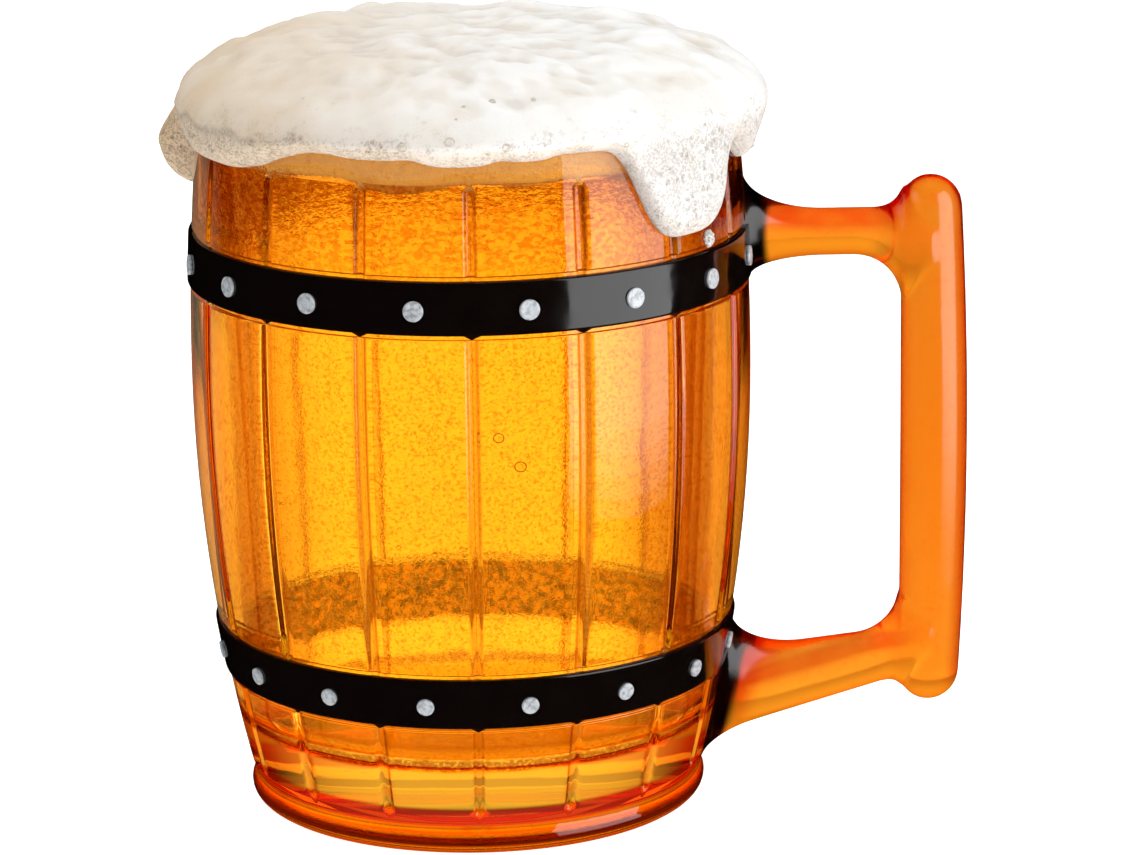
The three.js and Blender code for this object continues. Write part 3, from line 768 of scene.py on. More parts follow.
def foam_finish(look):
    """Cream foam: smooth on top, pores low down, painted shade and highlights; soaked, with a painted glow,
    in the glass.
    """
    f = Finish("beer_foam", Subsurface_Weight=0.12, Subsurface_Radius=(0.0025, 0.0018, 0.0012),
               Subsurface_Scale=1.0, IOR=FOAM_INDEX, Specular_IOR_Level=0.2, Emission_Strength=0.22)
    place = f.place()
    radius, height = from_axis(f, place)
    across = f.part(place, "X")
    depth = f.part(place, "Y")
    soaked = f.step(radius, 46.8 * MM, 46.2 * MM) * f.step(height, 132.5 * MM, 131.5 * MM)
    wander = f.noise(7 * MM, 3.0, place=place)
    low = f.step(height + 10 * MM * wander, 147 * MM, 133 * MM)
    fine = f.cells(0.5 * MM, place)
    coarse = f.cells(1.5 * MM, place)
    open_fine = f.step(f.noise(1.6 * MM, 2.0, place=place) + 0.35 * low, 0.53, 0.86)
    open_coarse = f.step(f.noise(4 * MM, 1.0, place=place) + 0.3 * low, 0.68, 0.85)
    pit = f.step(fine, 0.6, 0.3) * open_fine * low
    hole = f.step(coarse, 0.36, 0.24) * open_coarse * low
    shade = f.step(f.noise(16 * MM, 2.0, place=place), 0.4, 0.7)
    # Painted shade on the foam that has run down behind.
    behind = f.step(depth, 0.0, 12 * MM) * f.step(height, 137 * MM, 130 * MM)
    # Painted shade on the foam's left side.
    left = f.step(across + 20 * MM * wander, 24 * MM, -42 * MM)
    hollow = f.mark("hollow")
    # Painted shade in the crease where the head turns over its lip on the left.
    fold_shade = band(f, height + 5 * MM * wander, FOLD_SHADE_BAND, 0.7 * MM) * f.step(across, -22 * MM, -40 * MM)
    hem = f.step(height + 4 * MM * wander, 138.5 * MM, 135 * MM)
    # Painted shade where the foam faces down.
    normal = f.node("ShaderNodeNewGeometry", None, None, "Normal")
    under = f.step(f.part(normal, "Z"), 0.1, -0.6)
    # Painted shade on the foam that has run down in front.
    run = f.step(height + 6 * MM * wander, 137.5 * MM, 133 * MM) * f.step(across, 16 * MM, 24 * MM)
    pores = pit * (0.24 + 0.24 * hem) * (1.0 - 0.35 * run)
    f.set("Base Color", f.coats(
        look.foam,
        # Painted highlight on the ridges, painted shade in the hollows, from how far each point lies off the
        # smoothed foam.
        (f.step(hollow, 0.0, -0.25), look.foam_ridge_highlight),
        (left * (0.8 + 0.2 * low) + shade * 0.2, look.foam_shade),
        (f.step(hollow, 0.0, 0.3) * (0.42 - 0.3 * low), look.foam_hollow),
        (behind, look.foam_back_shade),
        (under * 0.55, look.foam_shade),
        (run * 0.5, look.foam_run_shade),
        (pores + hole * 0.34 + fold_shade * 0.36, look.pore),
        (soaked, look.soaked)))
    # Painted glow, not a lamp: the foam that fills the glass gives off light.
    f.set("Emission Color", f.mix(soaked, DARK, look.soaked))
    f.set("Roughness", f.step(fine, 0.1, 0.6, 0.35, 0.6))
    grain = f.noise(0.6 * MM, 2.0, place=place) * (0.07 * MM) - fine * (0.03 * MM)
    f.set("Normal", f.bump(grain - (pit + hole) * (0.15 * MM)))
    return f.material


def floor_finish(look, glow):
    """Matt white floor that gives off a little light."""
    f = Finish("studio_floor", Specular_IOR_Level=0.0, Emission_Strength=glow)
    soft = f.noise(0.6, 1.0)
    f.set("Base Color", f.mix(soft, look.floor, scaled(look.floor, 0.985)))
    f.set("Roughness", 0.9)
    f.set("Emission Color", (1.0, 1.0, 1.0))
    return f.material


GROOVE_ENDS = (1.0, 0.85, 0.68, 0.5, 0.3, 0.0)
GROOVE_COLUMNS = 12
PLAIN_COLUMNS = 8
ROW = 5 * MM


def stave_rows(s, bottom, top, ends):
    """Levels of the rows on a stretch of the staves, close together at a groove's rounded end."""
    half = s.groove_width / 2
    low = [bottom + half * (1 - e) for e in GROOVE_ENDS] if "low" in ends else [bottom]
    high = [top - half * (1 - e) for e in reversed(GROOVE_ENDS)] if "high" in ends else [top]
    middle = spread(low[-1], high[0], max(1, round((high[0] - low[-1]) / ROW)))[1:-1]
    return [(stave_radius(s, level), level) for level in low + middle + high]


def seat_rows(s, level):
    """The step into a hoop's seat and out of it, with eased edges."""
    half = s.hoop_width / 2 + s.seat_margin
    cut = s.seat_depth * 0.45
    corners = []
    for end, ways in ((level - half, (0, 1)), (level + half, (1, 0))):
        for deep in ways:
            corners.append((stave_radius(s, end) - deep * s.seat_depth, end, cut))
    edge = 2 * cut
    first = (stave_radius(s, level - half - edge), level - half - edge, 0)
    last = (stave_radius(s, level + half + edge), level + half + edge, 0)
    middle = (stave_radius(s, level) - s.seat_depth, level, 0)
    return rounded([first, *corners[:2], middle, *corners[2:], last], 3)


def barrel_line(s):
    """Outside and inside of the barrel, from the middle of its base to the middle of its floor."""
    foot_radius = stave_radius(s, s.foot_height) + s.foot_bead
    neck = (stave_radius(s, s.foot_height) - s.foot_neck, s.foot_height)
    heel = arc((foot_radius - s.heel_round, s.heel_round), s.heel_round, -90, 40, 10)
    waist = rounded([(*heel[-1], 0), (*neck, 0.7 * MM),
                     (stave_radius(s, s.groove_foot), s.groove_foot, 0)], 4)
    upper, lower = hoop_levels(s)
    reach = s.hoop_width / 2 + s.seat_margin + s.seat_depth
    mouth, rim = rim_round(s)
    foot = s.base_thickness + s.floor_round
    floor = (cavity_radius(s, foot) - s.floor_round, foot)
    wall = [(cavity_radius(s, level), level) for level in spread(foot, mouth[1], 16)[-2:0:-1]]
    return [
        *[(heel[0][0] * share, 0.0) for share in (0.0, 0.25, 0.5, 0.75, 0.9)],
        *heel[:-1],
        *waist[:-1],
        *stave_rows(s, s.groove_foot, lower - reach, "low"),
        *seat_rows(s, lower)[1:-1],
        *stave_rows(s, lower + reach, upper - reach, ""),
        *seat_rows(s, upper)[1:-1],
        *stave_rows(s, upper + reach, s.glass_height - s.groove_head, "high"),
        *arc(mouth, rim, 0, 180, 14),
        *wall,
        *arc(floor, s.floor_round, 0, -90, 10),
        *[(floor[0] * share, s.base_thickness) for share in (0.85, 0.6, 0.35, 0.15, 0.0)],
    ]


def on_staves(s, place):
    """Whether a point lies on the grooved stretch of the staves' outer face."""
    outside = math.hypot(place.x, place.y) > cavity_radius(s, place.z) + 2 * MM
    return outside and s.groove_foot < place.z < s.glass_height - s.groove_head


def in_seat(s, height):
    """Whether a height lies in a hoop's seat or on its eased edges."""
    reach = s.hoop_width / 2 + s.seat_margin + 0.1 * MM
    return any(abs(height - level) < reach for level in hoop_levels(s))


def carve_groove(piece, s):
    """Presses the groove in the middle of one stave's width, by scaling rings of points towards the axis."""
    half = s.groove_width / 2
    bottom, top = s.groove_foot + half, s.glass_height - s.groove_head - half
    step = s.groove_width / GROOVE_COLUMNS

    def on_ring(co, column, end, seated):
        across = round(abs(math.atan2(co.y, co.x)) * s.belly_radius / step)
        beyond = max(0.0, bottom - co.z, co.z - top)
        return (across == column and abs(beyond - end * half) < 0.01 * MM
                and on_staves(s, co) and in_seat(s, co.z) == seated)

    for column in range(GROOVE_COLUMNS // 2):
        for end in GROOVE_ENDS[1:]:
            share = 1 - ease(math.hypot(column * step / half, end), 0.25, 1.0)
            for seated in (False, True):
                depth = max(0.0, s.groove_depth * share - (s.seat_depth if seated else 0.0))
                if depth == 0.0 or (seated and end):
                    continue
                pick(piece, lambda co: on_ring(co, column, end, seated))
                scale = 1 - depth / s.belly_radius
                bpy.ops.transform.resize(value=(scale, scale, 1), center_override=(0, 0, 0))


def mark_grooves(piece, s):
    """Notes on each point of the staves' face how deep it lies in a groove, which the finish reads."""
    depth = piece.data.attributes.new("groove", "FLOAT", "POINT")
    for vertex, mark in zip(piece.data.vertices, depth.data):
        place = vertex.co
        if on_staves(s, place) and not in_seat(s, place.z):
            mark.value = (stave_radius(s, place.z) - math.hypot(place.x, place.y)) / s.groove_depth


class MUG_OT_barrel(bpy.types.Operator):
    """Spin one stave of the glass barrel, press its groove and repeat it round the axis"""

    bl_idname = "mug.barrel"
    bl_label = "Barrel"

    def execute(self, context):
        s = context.scene.mug_sizes
        look = context.scene.mug_finish
        piece = draw_line("barrel_glass", barrel_line(s))
        pitch = math.tau / s.staves
        groove = s.groove_width / s.belly_radius
        select_all()
        bpy.ops.transform.rotate(value=pitch / 2, orient_axis="Z", center_override=(0, 0, 0))
        edge = min(v.co.y for v in bmesh.from_edit_mesh(piece.data).verts)
        way = 1 if edge < -MM else -1
        for steps, angle in ((PLAIN_COLUMNS, (pitch - groove) / 2), (GROOVE_COLUMNS, groove),
                             (PLAIN_COLUMNS, (pitch - groove) / 2)):
            spin(steps, way * angle)
        carve_groove(piece, s)
        select_all()
        spin(s.staves - 1, math.tau - pitch, True)
        close_up(piece, 50)
        mark_grooves(piece, s)
        material = glass_finish("amber_glass", look, look.glass, look.glass_edge_shade, look.glass_depth,
                                GLASS_DENSITY, GLASS_BUMP, 0.0, barrel_detail)
        settle(piece, "amber_glass", material, "barrel")
        return {"FINISHED"}


HOOP_COLUMNS = 12
HOOP_EDGE = 0.55 * MM
HOOP_FLANK = -0.2 * MM
TONGUE_DROP = 0.75 * MM


def hoop_line(s, level):
    """Section of a hoop, which fills its seat and the grooves under it and has soft edges."""
    half = s.hoop_width / 2
    inner = -s.groove_depth - 0.1 * MM
    proud = s.hoop_proud
    corners = ((-1, inner, 0), (-1, HOOP_FLANK, 0), (-1, proud, HOOP_EDGE), (-0.6, proud, 0), (0, proud, 0),
               (0.6, proud, 0), (1, proud, HOOP_EDGE), (1, HOOP_FLANK, 0), (1, inner, 0), (-1, inner, 0))
    return rounded([(stave_radius(s, level + share * half) + offset, level + share * half, cut)
                    for share, offset, cut in corners], 5)


def pull_tongues(piece, s, level):
    """Lets the enamel run a little way down each groove under the hoop."""
    pitch = math.tau / s.staves
    bottom = level - s.hoop_width / 2

    def in_groove(co):
        share = math.atan2(co.y, co.x) / pitch
        inside = math.hypot(co.x, co.y) < stave_radius(s, bottom) - 0.1 * MM
        return abs(share - round(share)) < 0.02 and inside and abs(co.z - bottom) < 0.05 * MM

    pick(piece, in_groove)
    bpy.ops.transform.translate(value=(0, 0, -TONGUE_DROP))


class MUG_OT_hoops(bpy.types.Operator):
    """Spin the two enamelled hoops and let the enamel run into the grooves"""

    bl_idname = "mug.hoops"
    bl_label = "Hoops"

    def execute(self, context):
        s = context.scene.mug_sizes
        material = enamel_finish(context.scene.mug_finish)
        back = enamel_back_finish(context.scene.mug_finish)
        for name, level in zip(("upper", "lower"), hoop_levels(s)):
            piece = draw_line(f"{name}_enamel_hoop", hoop_line(s, level))
            select_all()
            spin(s.staves * HOOP_COLUMNS, math.tau)
            select_all()
            bpy.ops.mesh.remove_doubles(threshold=WELD)
            pull_tongues(piece, s, level)
            close_up(piece, 50)
            settle(piece, "hoop_enamel", material, f"{name}_hoop")
            # The faces towards the axis take the brown, glowing back, a painted light.
            line_inside(piece, back)
        return {"FINISHED"}


RIVET_SIDES = 28
RIVET_RINGS = ((0.2, 0.1), (0.22, -0.12), (0.3, 0.08))


def rivet_head(s, name, radius, level):
    """One rivet, modelled about +Z and laid on its hoop in the middle of the first stave."""
    piece = fresh(name, bpy.ops.mesh.primitive_cylinder_add, vertices=RIVET_SIDES, radius=radius,
                  depth=s.rivet_height, location=(0, 0, s.rivet_height / 2))
    edit(piece)
    pick_faces(piece, lambda normal: normal.z > 0.9)
    for share, lift in RIVET_RINGS:
        bpy.ops.mesh.inset(thickness=radius * share)
        bpy.ops.transform.translate(value=(0, 0, lift * MM))
    close_up(piece, 60)
    apply(piece, "Soft edge", "BEVEL", width=0.12 * MM, segments=2, limit_method="ANGLE")
    height = level - s.rivet_drop
    seat = stave_radius(s, height) + s.hoop_proud - 0.05 * MM
    tilt = math.pi / 2 + math.atan(stave_slope(s, height))
    laid = Matrix.Translation((seat, 0, height)) @ Matrix.Rotation(tilt, 4, "Y")
    piece.data.transform(Matrix.Rotation(math.pi / s.staves, 4, "Z") @ laid)
    return piece


class MUG_OT_rivets(bpy.types.Operator):
    """Model one rivet for each hoop and copy it to the middle of each stave"""

    bl_idname = "mug.rivets"
    bl_label = "Rivets"

    def execute(self, context):
        s = context.scene.mug_sizes
        material = rivet_finish(context.scene.mug_finish)
        rows = zip(("upper", "lower"), (s.upper_rivet, s.lower_rivet), hoop_levels(s))
        for row, radius, level in rows:
            first = rivet_head(s, f"{row}_rivet_head_01", radius, level)
            for i in range(s.staves):
                head = duplicate(first) if i else first
                head.name = f"{row}_rivet_head_{i + 1:02d}"
                head.data.transform(Matrix.Rotation(i * math.tau / s.staves, 4, "Z"))
                settle(head, "rivet_metal", material, f"{row}_rivet_{i + 1:02d}")
        return {"FINISHED"}


HANDLE_SIDES = 48
ARM_STATIONS = 44
POST_STATIONS = 48
HANDLE_VOXEL = 0.38 * MM
UPPER_FILLETS = {"root_top": (15, 7.5), "root_bottom": (14, 4), "post_top": (5, 4), "post_bottom": (9, 9)}
LOWER_FILLETS = {"root_top": (14, 8), "root_bottom": (10, 5), "post_top": (8, 8), "post_bottom": (4, 2)}


def flare(distance, fillet):
    """Height of a quarter-ellipse fillet, given in millimetres, at a distance from the face it meets."""
    reach, rise = fillet[0] * MM, fillet[1] * MM
    along = min(1.0, max(0.0, 1 - distance / reach))
    return rise * (1 - math.sqrt(1 - along * along))


def arm_stations(s, h, root, climb, thick, fillets):
    """Middle and half sizes of the sections along an arm."""
    face = s.belly_radius + h.finger_gap
    wall = stave_radius(s, root)
    top_wall = stave_radius(s, root + thick[0] / 2 + fillets["root_top"][1] * MM)
    bottom_wall = stave_radius(s, root - thick[0] / 2 - fillets["root_bottom"][1] * MM)
    start = min(top_wall, bottom_wall) - 2 * MM
    end = face + h.post_radius - h.post_bow
    stations = []
    for x in spread(start, end, ARM_STATIONS):
        along = (x - wall) / (face - wall)
        middle = root + climb * along
        half = (thick[0] + (thick[1] - thick[0]) * along) / 2
        top = middle + half + flare(x - top_wall, fillets["root_top"]) + flare(face - x, fillets["post_top"])
        bottom = middle - half - flare(x - bottom_wall, fillets["root_bottom"])
        bottom -= flare(face - x, fillets["post_bottom"])
        widen = flare(x - top_wall, (fillets["root_top"][0], (h.root_depth - h.arm_depth) / MM))
        swell = flare(face - x, (fillets["post_top"][0], (h.post_radius - h.arm_depth / 2) / MM))
        depth = (h.arm_depth + widen) / 2 + swell
        stations.append((Vector((x, 0, (top + bottom) / 2)), Vector((1, depth, (top - bottom) / 2))))
    return stations


def post_stations(s, h, top, bottom):
    """Middle and half sizes of the sections up the post, from its rounded foot to its rounded head."""
    axis = s.belly_radius + h.finger_gap + h.post_radius
    middle, half = (top + bottom) / 2, (top - bottom) / 2
    stations = []
    for i in range(1, POST_STATIONS):
        share = -math.cos(math.pi * i / POST_STATIONS)
        radius = h.post_radius - h.post_taper * share * share
        to_end = half * (1 - abs(share))
        end = h.post_radius - h.post_taper
        if to_end < end:
            radius *= math.sqrt(max(0.0, 1 - (1 - to_end / end) ** 2))
        x = axis - h.post_bow * share * share
        stations.append((Vector((x, 0, middle + half * share)), Vector((radius, radius, 1))))
    return stations


def sweep(name, rotation, stations):
    """Extrudes a disc along stations, and scales it to each one's size."""
    piece = fresh(name, bpy.ops.mesh.primitive_circle_add, vertices=HANDLE_SIDES, radius=1,
                  fill_type="NGON", rotation=rotation)
    edit(piece)
    bpy.ops.mesh.select_mode(type="FACE")
    select_all()
    centre, size = stations[0]
    bpy.ops.transform.resize(value=size, center_override=(0, 0, 0))
    bpy.ops.transform.translate(value=centre)
    for (centre, size), (new_centre, new_size) in zip(stations, stations[1:]):
        bpy.ops.mesh.extrude_region_move(TRANSFORM_OT_translate={"value": new_centre - centre})
        ratio = [new / old for new, old in zip(new_size, size)]
        bpy.ops.transform.resize(value=ratio, center_override=new_centre)
    close_up(piece)
    return piece


def handle_cutter(s):
    """The barrel as the handle meets it: a little inside the glass, and against the hoops."""
    def side(height, offset):
        return (stave_radius(s, height) + offset, height)

    inside = -s.groove_depth - 0.1 * MM
    against = s.hoop_proud - 0.1 * MM
    foot = stave_radius(s, s.foot_height) + s.foot_bead - 0.3 * MM
    line = [(0.0, 0.0), (foot, 0.0), (foot, s.foot_height - MM)]
    start, half = s.foot_height, s.hoop_width / 2
    for level in reversed(hoop_levels(s)):
        rows = max(2, round((level - half - start) / ROW))
        line += [side(height, inside) for height in spread(start, level - half, rows)]
        line += [side(height, against) for height in spread(level - half, level + half, 4)]
        start = level + half
    line += [side(height, inside) for height in spread(start, s.glass_height, 5)]
    line.append((0.0, s.glass_height))
    return revolve("handle_cutter", line, 288)


def mark_handle(piece, s, h):
    """Notes on each point its painted red shade, its painted glow, and how near the barrel it is, for the
    black roots.
    """
    marks = [piece.data.attributes.new(name, "FLOAT", "POINT") for name in HANDLE_MARKS]
    face = s.belly_radius + h.finger_gap
    root = s.lower_hoop_level - h.lower_drop
    wall = stave_radius(s, root)
    for vertex in piece.data.vertices:
        place, normal = vertex.co, vertex.normal
        away = math.hypot(place.x, place.y) - stave_radius(s, place.z)
        along = (place.x - wall) / (face - wall)
        # deep: painted shade, redder where the glass faces up, on its edges, along the lower arm and near its
        # root.
        deep = ease(normal.z, -0.05, 0.6) * (1 - 0.7 * ease(along, 0.95, 1.15))
        # lit: painted glow where the glass faces down, and under the upper arm towards the post.
        lit = 0.85 * ease(normal.z, 0.1, -0.65)
        if place.z >= s.glass_height / 2:
            on_arm = ease(normal.z, 0.35, -0.3) * (1 - 0.4 * ease(normal.z, -0.4, -0.9))
            lit = max(0.75 * on_arm * ease(along, 1.0, 0.8), lit * ease(along, 0.8, 1.0))
        else:
            vein = abs(place.z - root - h.lower_climb * along - (2.7 + 1.5 * along) * MM)
            deep = max(ease(vein, (3.2 - 0.8 * along) * MM, 0.8 * MM) * ease(along, 1.15, 0.9),
                       0.9 * ease(away, 9 * MM, 4 * MM))
        on_left = 0.4 * ease(-normal.x, 0.3, 0.9) * ease(along, 0.8, 1.0)
        deep = max(deep, on_left, 0.85 * ease(normal.x, 0.35, 0.9))
        # The last mark: points within a few millimetres of the barrel, painted black as a reflection of the
        # hoop.
        for mark, value in zip(marks, (deep, lit, ease(away, 4.2 * MM, 2.6 * MM))):
            mark.data[vertex.index].value = value


class MUG_OT_handle(bpy.types.Operator):
    """Sweep the post and both arms, melt them together and cut their roots to the barrel"""

    bl_idname = "mug.handle"
    bl_label = "Handle"

    def execute(self, context):
        s = context.scene.mug_sizes
        h = context.scene.handle_sizes
        look = context.scene.mug_finish
        upper_root = upper_hoop_level(s) + h.upper_rise
        lower_root = s.lower_hoop_level - h.lower_drop
        across = (0, math.pi / 2, 0)
        upper = sweep("upper_arm", across, arm_stations(
            s, h, upper_root, 0.0, (h.upper_thickness, h.upper_thickness), UPPER_FILLETS))
        lower = sweep("lower_arm", across, arm_stations(
            s, h, lower_root, h.lower_climb, (h.lower_root, h.lower_thickness), LOWER_FILLETS))
        top = upper_root + h.upper_thickness / 2 + h.post_top
        bottom = lower_root + h.lower_climb - h.lower_thickness / 2 - h.post_bottom
        post = sweep("handle_glass", (0, 0, 0), post_stations(s, h, top, bottom))
        piece = fuse([post, upper, lower])
        apply(piece, "Melt", "REMESH", mode="VOXEL", voxel_size=HANDLE_VOXEL)
        apply(piece, "Flow", "SMOOTH", factor=0.5, iterations=14)
        cutter = handle_cutter(s)
        apply(piece, "Roots", "BOOLEAN", operation="DIFFERENCE", solver="EXACT", object=cutter)
        bpy.data.objects.remove(cutter)
        edit(piece)
        close_up(piece, 35)
        mark_handle(piece, s, h)
        material = glass_finish("handle_amber", look, look.handle, look.handle_edge_shade, look.handle_depth,
                                HANDLE_DENSITY, HANDLE_BUMP, HANDLE_FROST, handle_detail)
        settle(piece, "amber_glass", material, "handle")
        return {"FINISHED"}


OVERLAP = 0.12 * MM


class MUG_OT_beer(bpy.types.Operator):
    """Spin the beer so that it wets the glass all over"""

    bl_idname = "mug.beer"
    bl_label = "Beer"

    def execute(self, context):
        s = context.scene.mug_sizes
        fill = context.scene.fill_sizes
        foot = s.base_thickness + s.floor_round
        top = s.glass_height - fill.beer_drop
        centre = (cavity_radius(s, foot) - s.floor_round, foot)
        wall = [(cavity_radius(s, level) + OVERLAP, level) for level in spread(foot, top, 16)[1:]]
        line = [(centre[0] * share, s.base_thickness - OVERLAP) for share in (0.0, 0.3, 0.6, 0.85)]
        line += arc(centre, s.floor_round + OVERLAP, -90, 0, 10) + wall
        line += [(wall[-1][0] * share, top + OVERLAP) for share in (0.99, 0.9, 0.6, 0.3, 0.0)]
        piece = revolve("gold_beer", line, 224)
        settle(piece, "beer", beer_finish(context.scene.mug_finish), "beer")
        return {"FINISHED"}


def bubble(name):
    """One bubble, slightly squashed, of unit radius about the origin."""
    piece = fresh(name, bpy.ops.mesh.primitive_ico_sphere_add, subdivisions=2, radius=1)
    edit(piece)
    select_all()
    bpy.ops.transform.resize(value=(1, 0.96, 0.92), center_override=(0, 0, 0))
    close_up(piece, 180)
    return piece


def scatter(name, places):
    """Copies of one bubble at (place, radius) pairs, joined into one piece."""
    first = bubble(name)
    copies = []
    for place, radius in places:
        copy = duplicate(first)
        copy.data.transform(Matrix.Translation(place) @ Matrix.Scale(radius, 4))
        copies.append(copy)
    bpy.data.objects.remove(first)
    piece = fuse(copies)
    piece.name = name
    return piece


def seen(bubbles):
    """Bubbles listed in degrees and millimetres, in radians and metres."""
    return [(math.radians(bearing), level * MM, radius * MM) for bearing, level, radius in bubbles]


LARGE_FIZZ = ((5.8, 79.3, 1.0), (10.8, 73.8, 1.1), (8.4, 74.4, 0.5), (12.0, 76.0, 0.35), (-8.5, 70.5, 0.45),
              (11.0, 69.5, 0.35), (5.5, 62.5, 0.3), (-20.0, 66.0, 0.4), (-18.0, 59.0, 0.5), (-9.5, 58.0, 0.5))


class MUG_OT_fizz(bpy.types.Operator):
    """Scatter bubbles over the inside of the glass"""

    bl_idname = "mug.fizz"
    bl_label = "Fizz"

    def execute(self, context):
        s = context.scene.mug_sizes
        fill = context.scene.fill_sizes
        look = context.scene.mug_finish
        draw = random.Random(7)
        foot = s.base_thickness + s.floor_round
        top = s.glass_height - fill.beer_drop - MM
        places = seen(LARGE_FIZZ)
        for _ in range(fill.fizz_count):
            level = foot + (top - foot) * draw.random()
            places.append((math.tau * draw.random(), level, (0.11 + 0.22 * draw.random() ** 3) * MM))
        spots = []
        for bearing, level, radius in places:
            reach = cavity_radius(s, level) - radius * 0.9
            spots.append((around(bearing, reach, level), radius))
        piece = scatter("fizz", spots)
        settle(piece, "beer", bubble_finish("fizz_film", FIZZ_INDEX, look.fizz, look.fizz_rim_shade))
        return {"FINISHED"}


FOAM_COLUMNS = 320
DOME_ROWS = 44
LIP_ROWS = 26
CONTACT_ROWS = 16
PLUG_ROWS = 14
FRONT_FLATNESS = 3.4
SIDE_FLATNESS = 6.5
DOME_EDGE = 1.55
MOUND_SPREAD = 0.15
FOAM_MOUNDS = ((12, 0.6, 1), (52, 0.68, 0.8), (84, 0.62, 1), (128, 0.66, 0.9), (163, 0.58, 1),
               (201, 0.67, 0.8), (238, 0.6, 1), (276, 0.67, 0.9), (318, 0.62, 1), (345, 0.78, 0.6),
               (30, 0.22, 0.7), (120, 0.3, 0.8), (215, 0.28, 0.7), (300, 0.3, 0.9))
HANG, SWELL, THICKEN = 2, 3, 4
FOAM_LOBES = ((48.5, 13.5, 17.5, 0, 1.4), (88, 20, 8, 1.7, 0.6), (150, 25, 4.5, 0.4, 0),
              (205, 20, 4.5, 0.4, 0), (257, 8, 13, 0.8, 5.5), (298, 18, 5, 0, 1.4),
              (-2.5, 8, 1.4, 0, 0.3), (-20, 7, 0.5, 0, 0), (12, 5, 0.8, 0, 0.2), (318, 6, 0.8, 0, 0.2),
              (257, 6, 2.6, 0, 0), (72, 6, 1.0, 0, 0.2), (112, 7, 1.2, 0, 0.3), (178, 8, 1.4, 0, 0.3),
              (228, 6, 1.0, 0, 0.2))


def lobes(bearing, column):
    """Sum of what the foam's lobes and the waves of its hem add at a bearing, in metres."""
    total = 0.0
    for lobe in FOAM_LOBES:
        away = (bearing - math.radians(lobe[0]) + math.pi) % math.tau - math.pi
        total += lobe[column] * MM * math.exp(-((away / math.radians(lobe[1])) ** 4))
    return total


def mounds(fill, bearing, reach):
    """Height of the mounds at a bearing and a share of the head's radius."""
    total = 0.0
    for at, out, lift in FOAM_MOUNDS:
        away = reach * reach + out * out - 2 * reach * out * math.cos(bearing - math.radians(at))
        total += fill.mounds * lift * math.exp(-away / MOUND_SPREAD ** 2)
    return total


def resample(points, count):
    """Points at even distances along a line."""
    line = [Vector(p) for p in points]
    marks = [0.0]
    for a, b in zip(line, line[1:]):
        marks.append(marks[-1] + (b - a).length)
    result, k = [], 0
    for want in spread(0.0, marks[-1], count):
        while k + 2 < len(marks) and marks[k + 1] < want:
            k += 1
        span = marks[k + 1] - marks[k] or 1.0
        result.append(line[k].lerp(line[k + 1], min(1.0, (want - marks[k]) / span)))
    return result


def foam_section(s, fill, bearing):
    """Section of the head from its crown over the lip and the rim down to the middle of the plug."""
    swell_level = s.glass_height + fill.foam_swell
    swell = stave_radius(s, s.glass_height) + fill.foam_overhang + lobes(bearing, SWELL)
    swell += 0.4 * MM * math.sin(5 * bearing + 1)
    crown = fill.foam_top - fill.foam_swell
    front = ease(math.cos(bearing), -0.2, 0.8)
    flatness = SIDE_FLATNESS + (FRONT_FLATNESS - SIDE_FLATNESS) * front
    dome = []
    for i in range(101):
        share = math.sin(math.pi / 2 * i / 100)
        rise = (1 - share ** flatness) ** (1 / DOME_EDGE)
        dome.append((swell * share, swell_level + (crown + mounds(fill, bearing, share)) * rise))
    hem = s.glass_height - fill.lip_drop - lobes(bearing, HANG)
    mouth, rim = rim_round(s)
    if hem > mouth[1]:
        contact = arc(mouth, rim - OVERLAP, math.degrees(math.asin((hem - mouth[1]) / rim)), 90, 6)
    else:
        contact = [(stave_radius(s, level) - OVERLAP, level) for level in spread(hem, mouth[1], 8)[:-1]]
        contact += arc(mouth, rim - OVERLAP, 0, 90, 6)
    contact += arc(mouth, rim - OVERLAP, 90, 180, 6)[1:]
    lip = fill.foam_lip + lobes(bearing, THICKEN)
    start, reach = contact[0][0], swell_level - hem
    stand = swell - start
    turn_in = min(reach, 1.1 * lip)
    outer = []
    for i in range(61):
        down = reach * math.sin(math.pi / 2 * i / 60)
        thick = stand + (lip - stand) * ease(down, 0, fill.lip_fade)
        inward = max(0.0, 1 - (reach - down) / turn_in)
        outer.append((start + thick * math.sqrt(1 - inward * inward), swell_level - down))
    floor = s.glass_height - fill.beer_drop
    floor += 0.5 * MM * (math.sin(7 * bearing) + math.sin(12 * bearing + 2)) - MM
    plug = [contact[-1], (cavity_radius(s, floor) + OVERLAP, floor), (0.0, floor)]
    return (resample(dome, DOME_ROWS) + resample(outer, LIP_ROWS)[1:]
            + resample(contact, CONTACT_ROWS)[1:] + resample(plug, PLUG_ROWS)[1:])


def displace(piece, name, kind, size, strength, group, **settings):
    """Pushes the free face of the foam in and out with a procedural texture."""
    texture = bpy.data.textures.new(name, kind)
    texture.noise_scale = size
    for key, value in settings.items():
        setattr(texture, key, value)
    apply(piece, name, "DISPLACE", texture=texture, texture_coords="LOCAL", strength=strength,
          mid_level=0.5, vertex_group=group)
    bpy.data.textures.remove(texture)


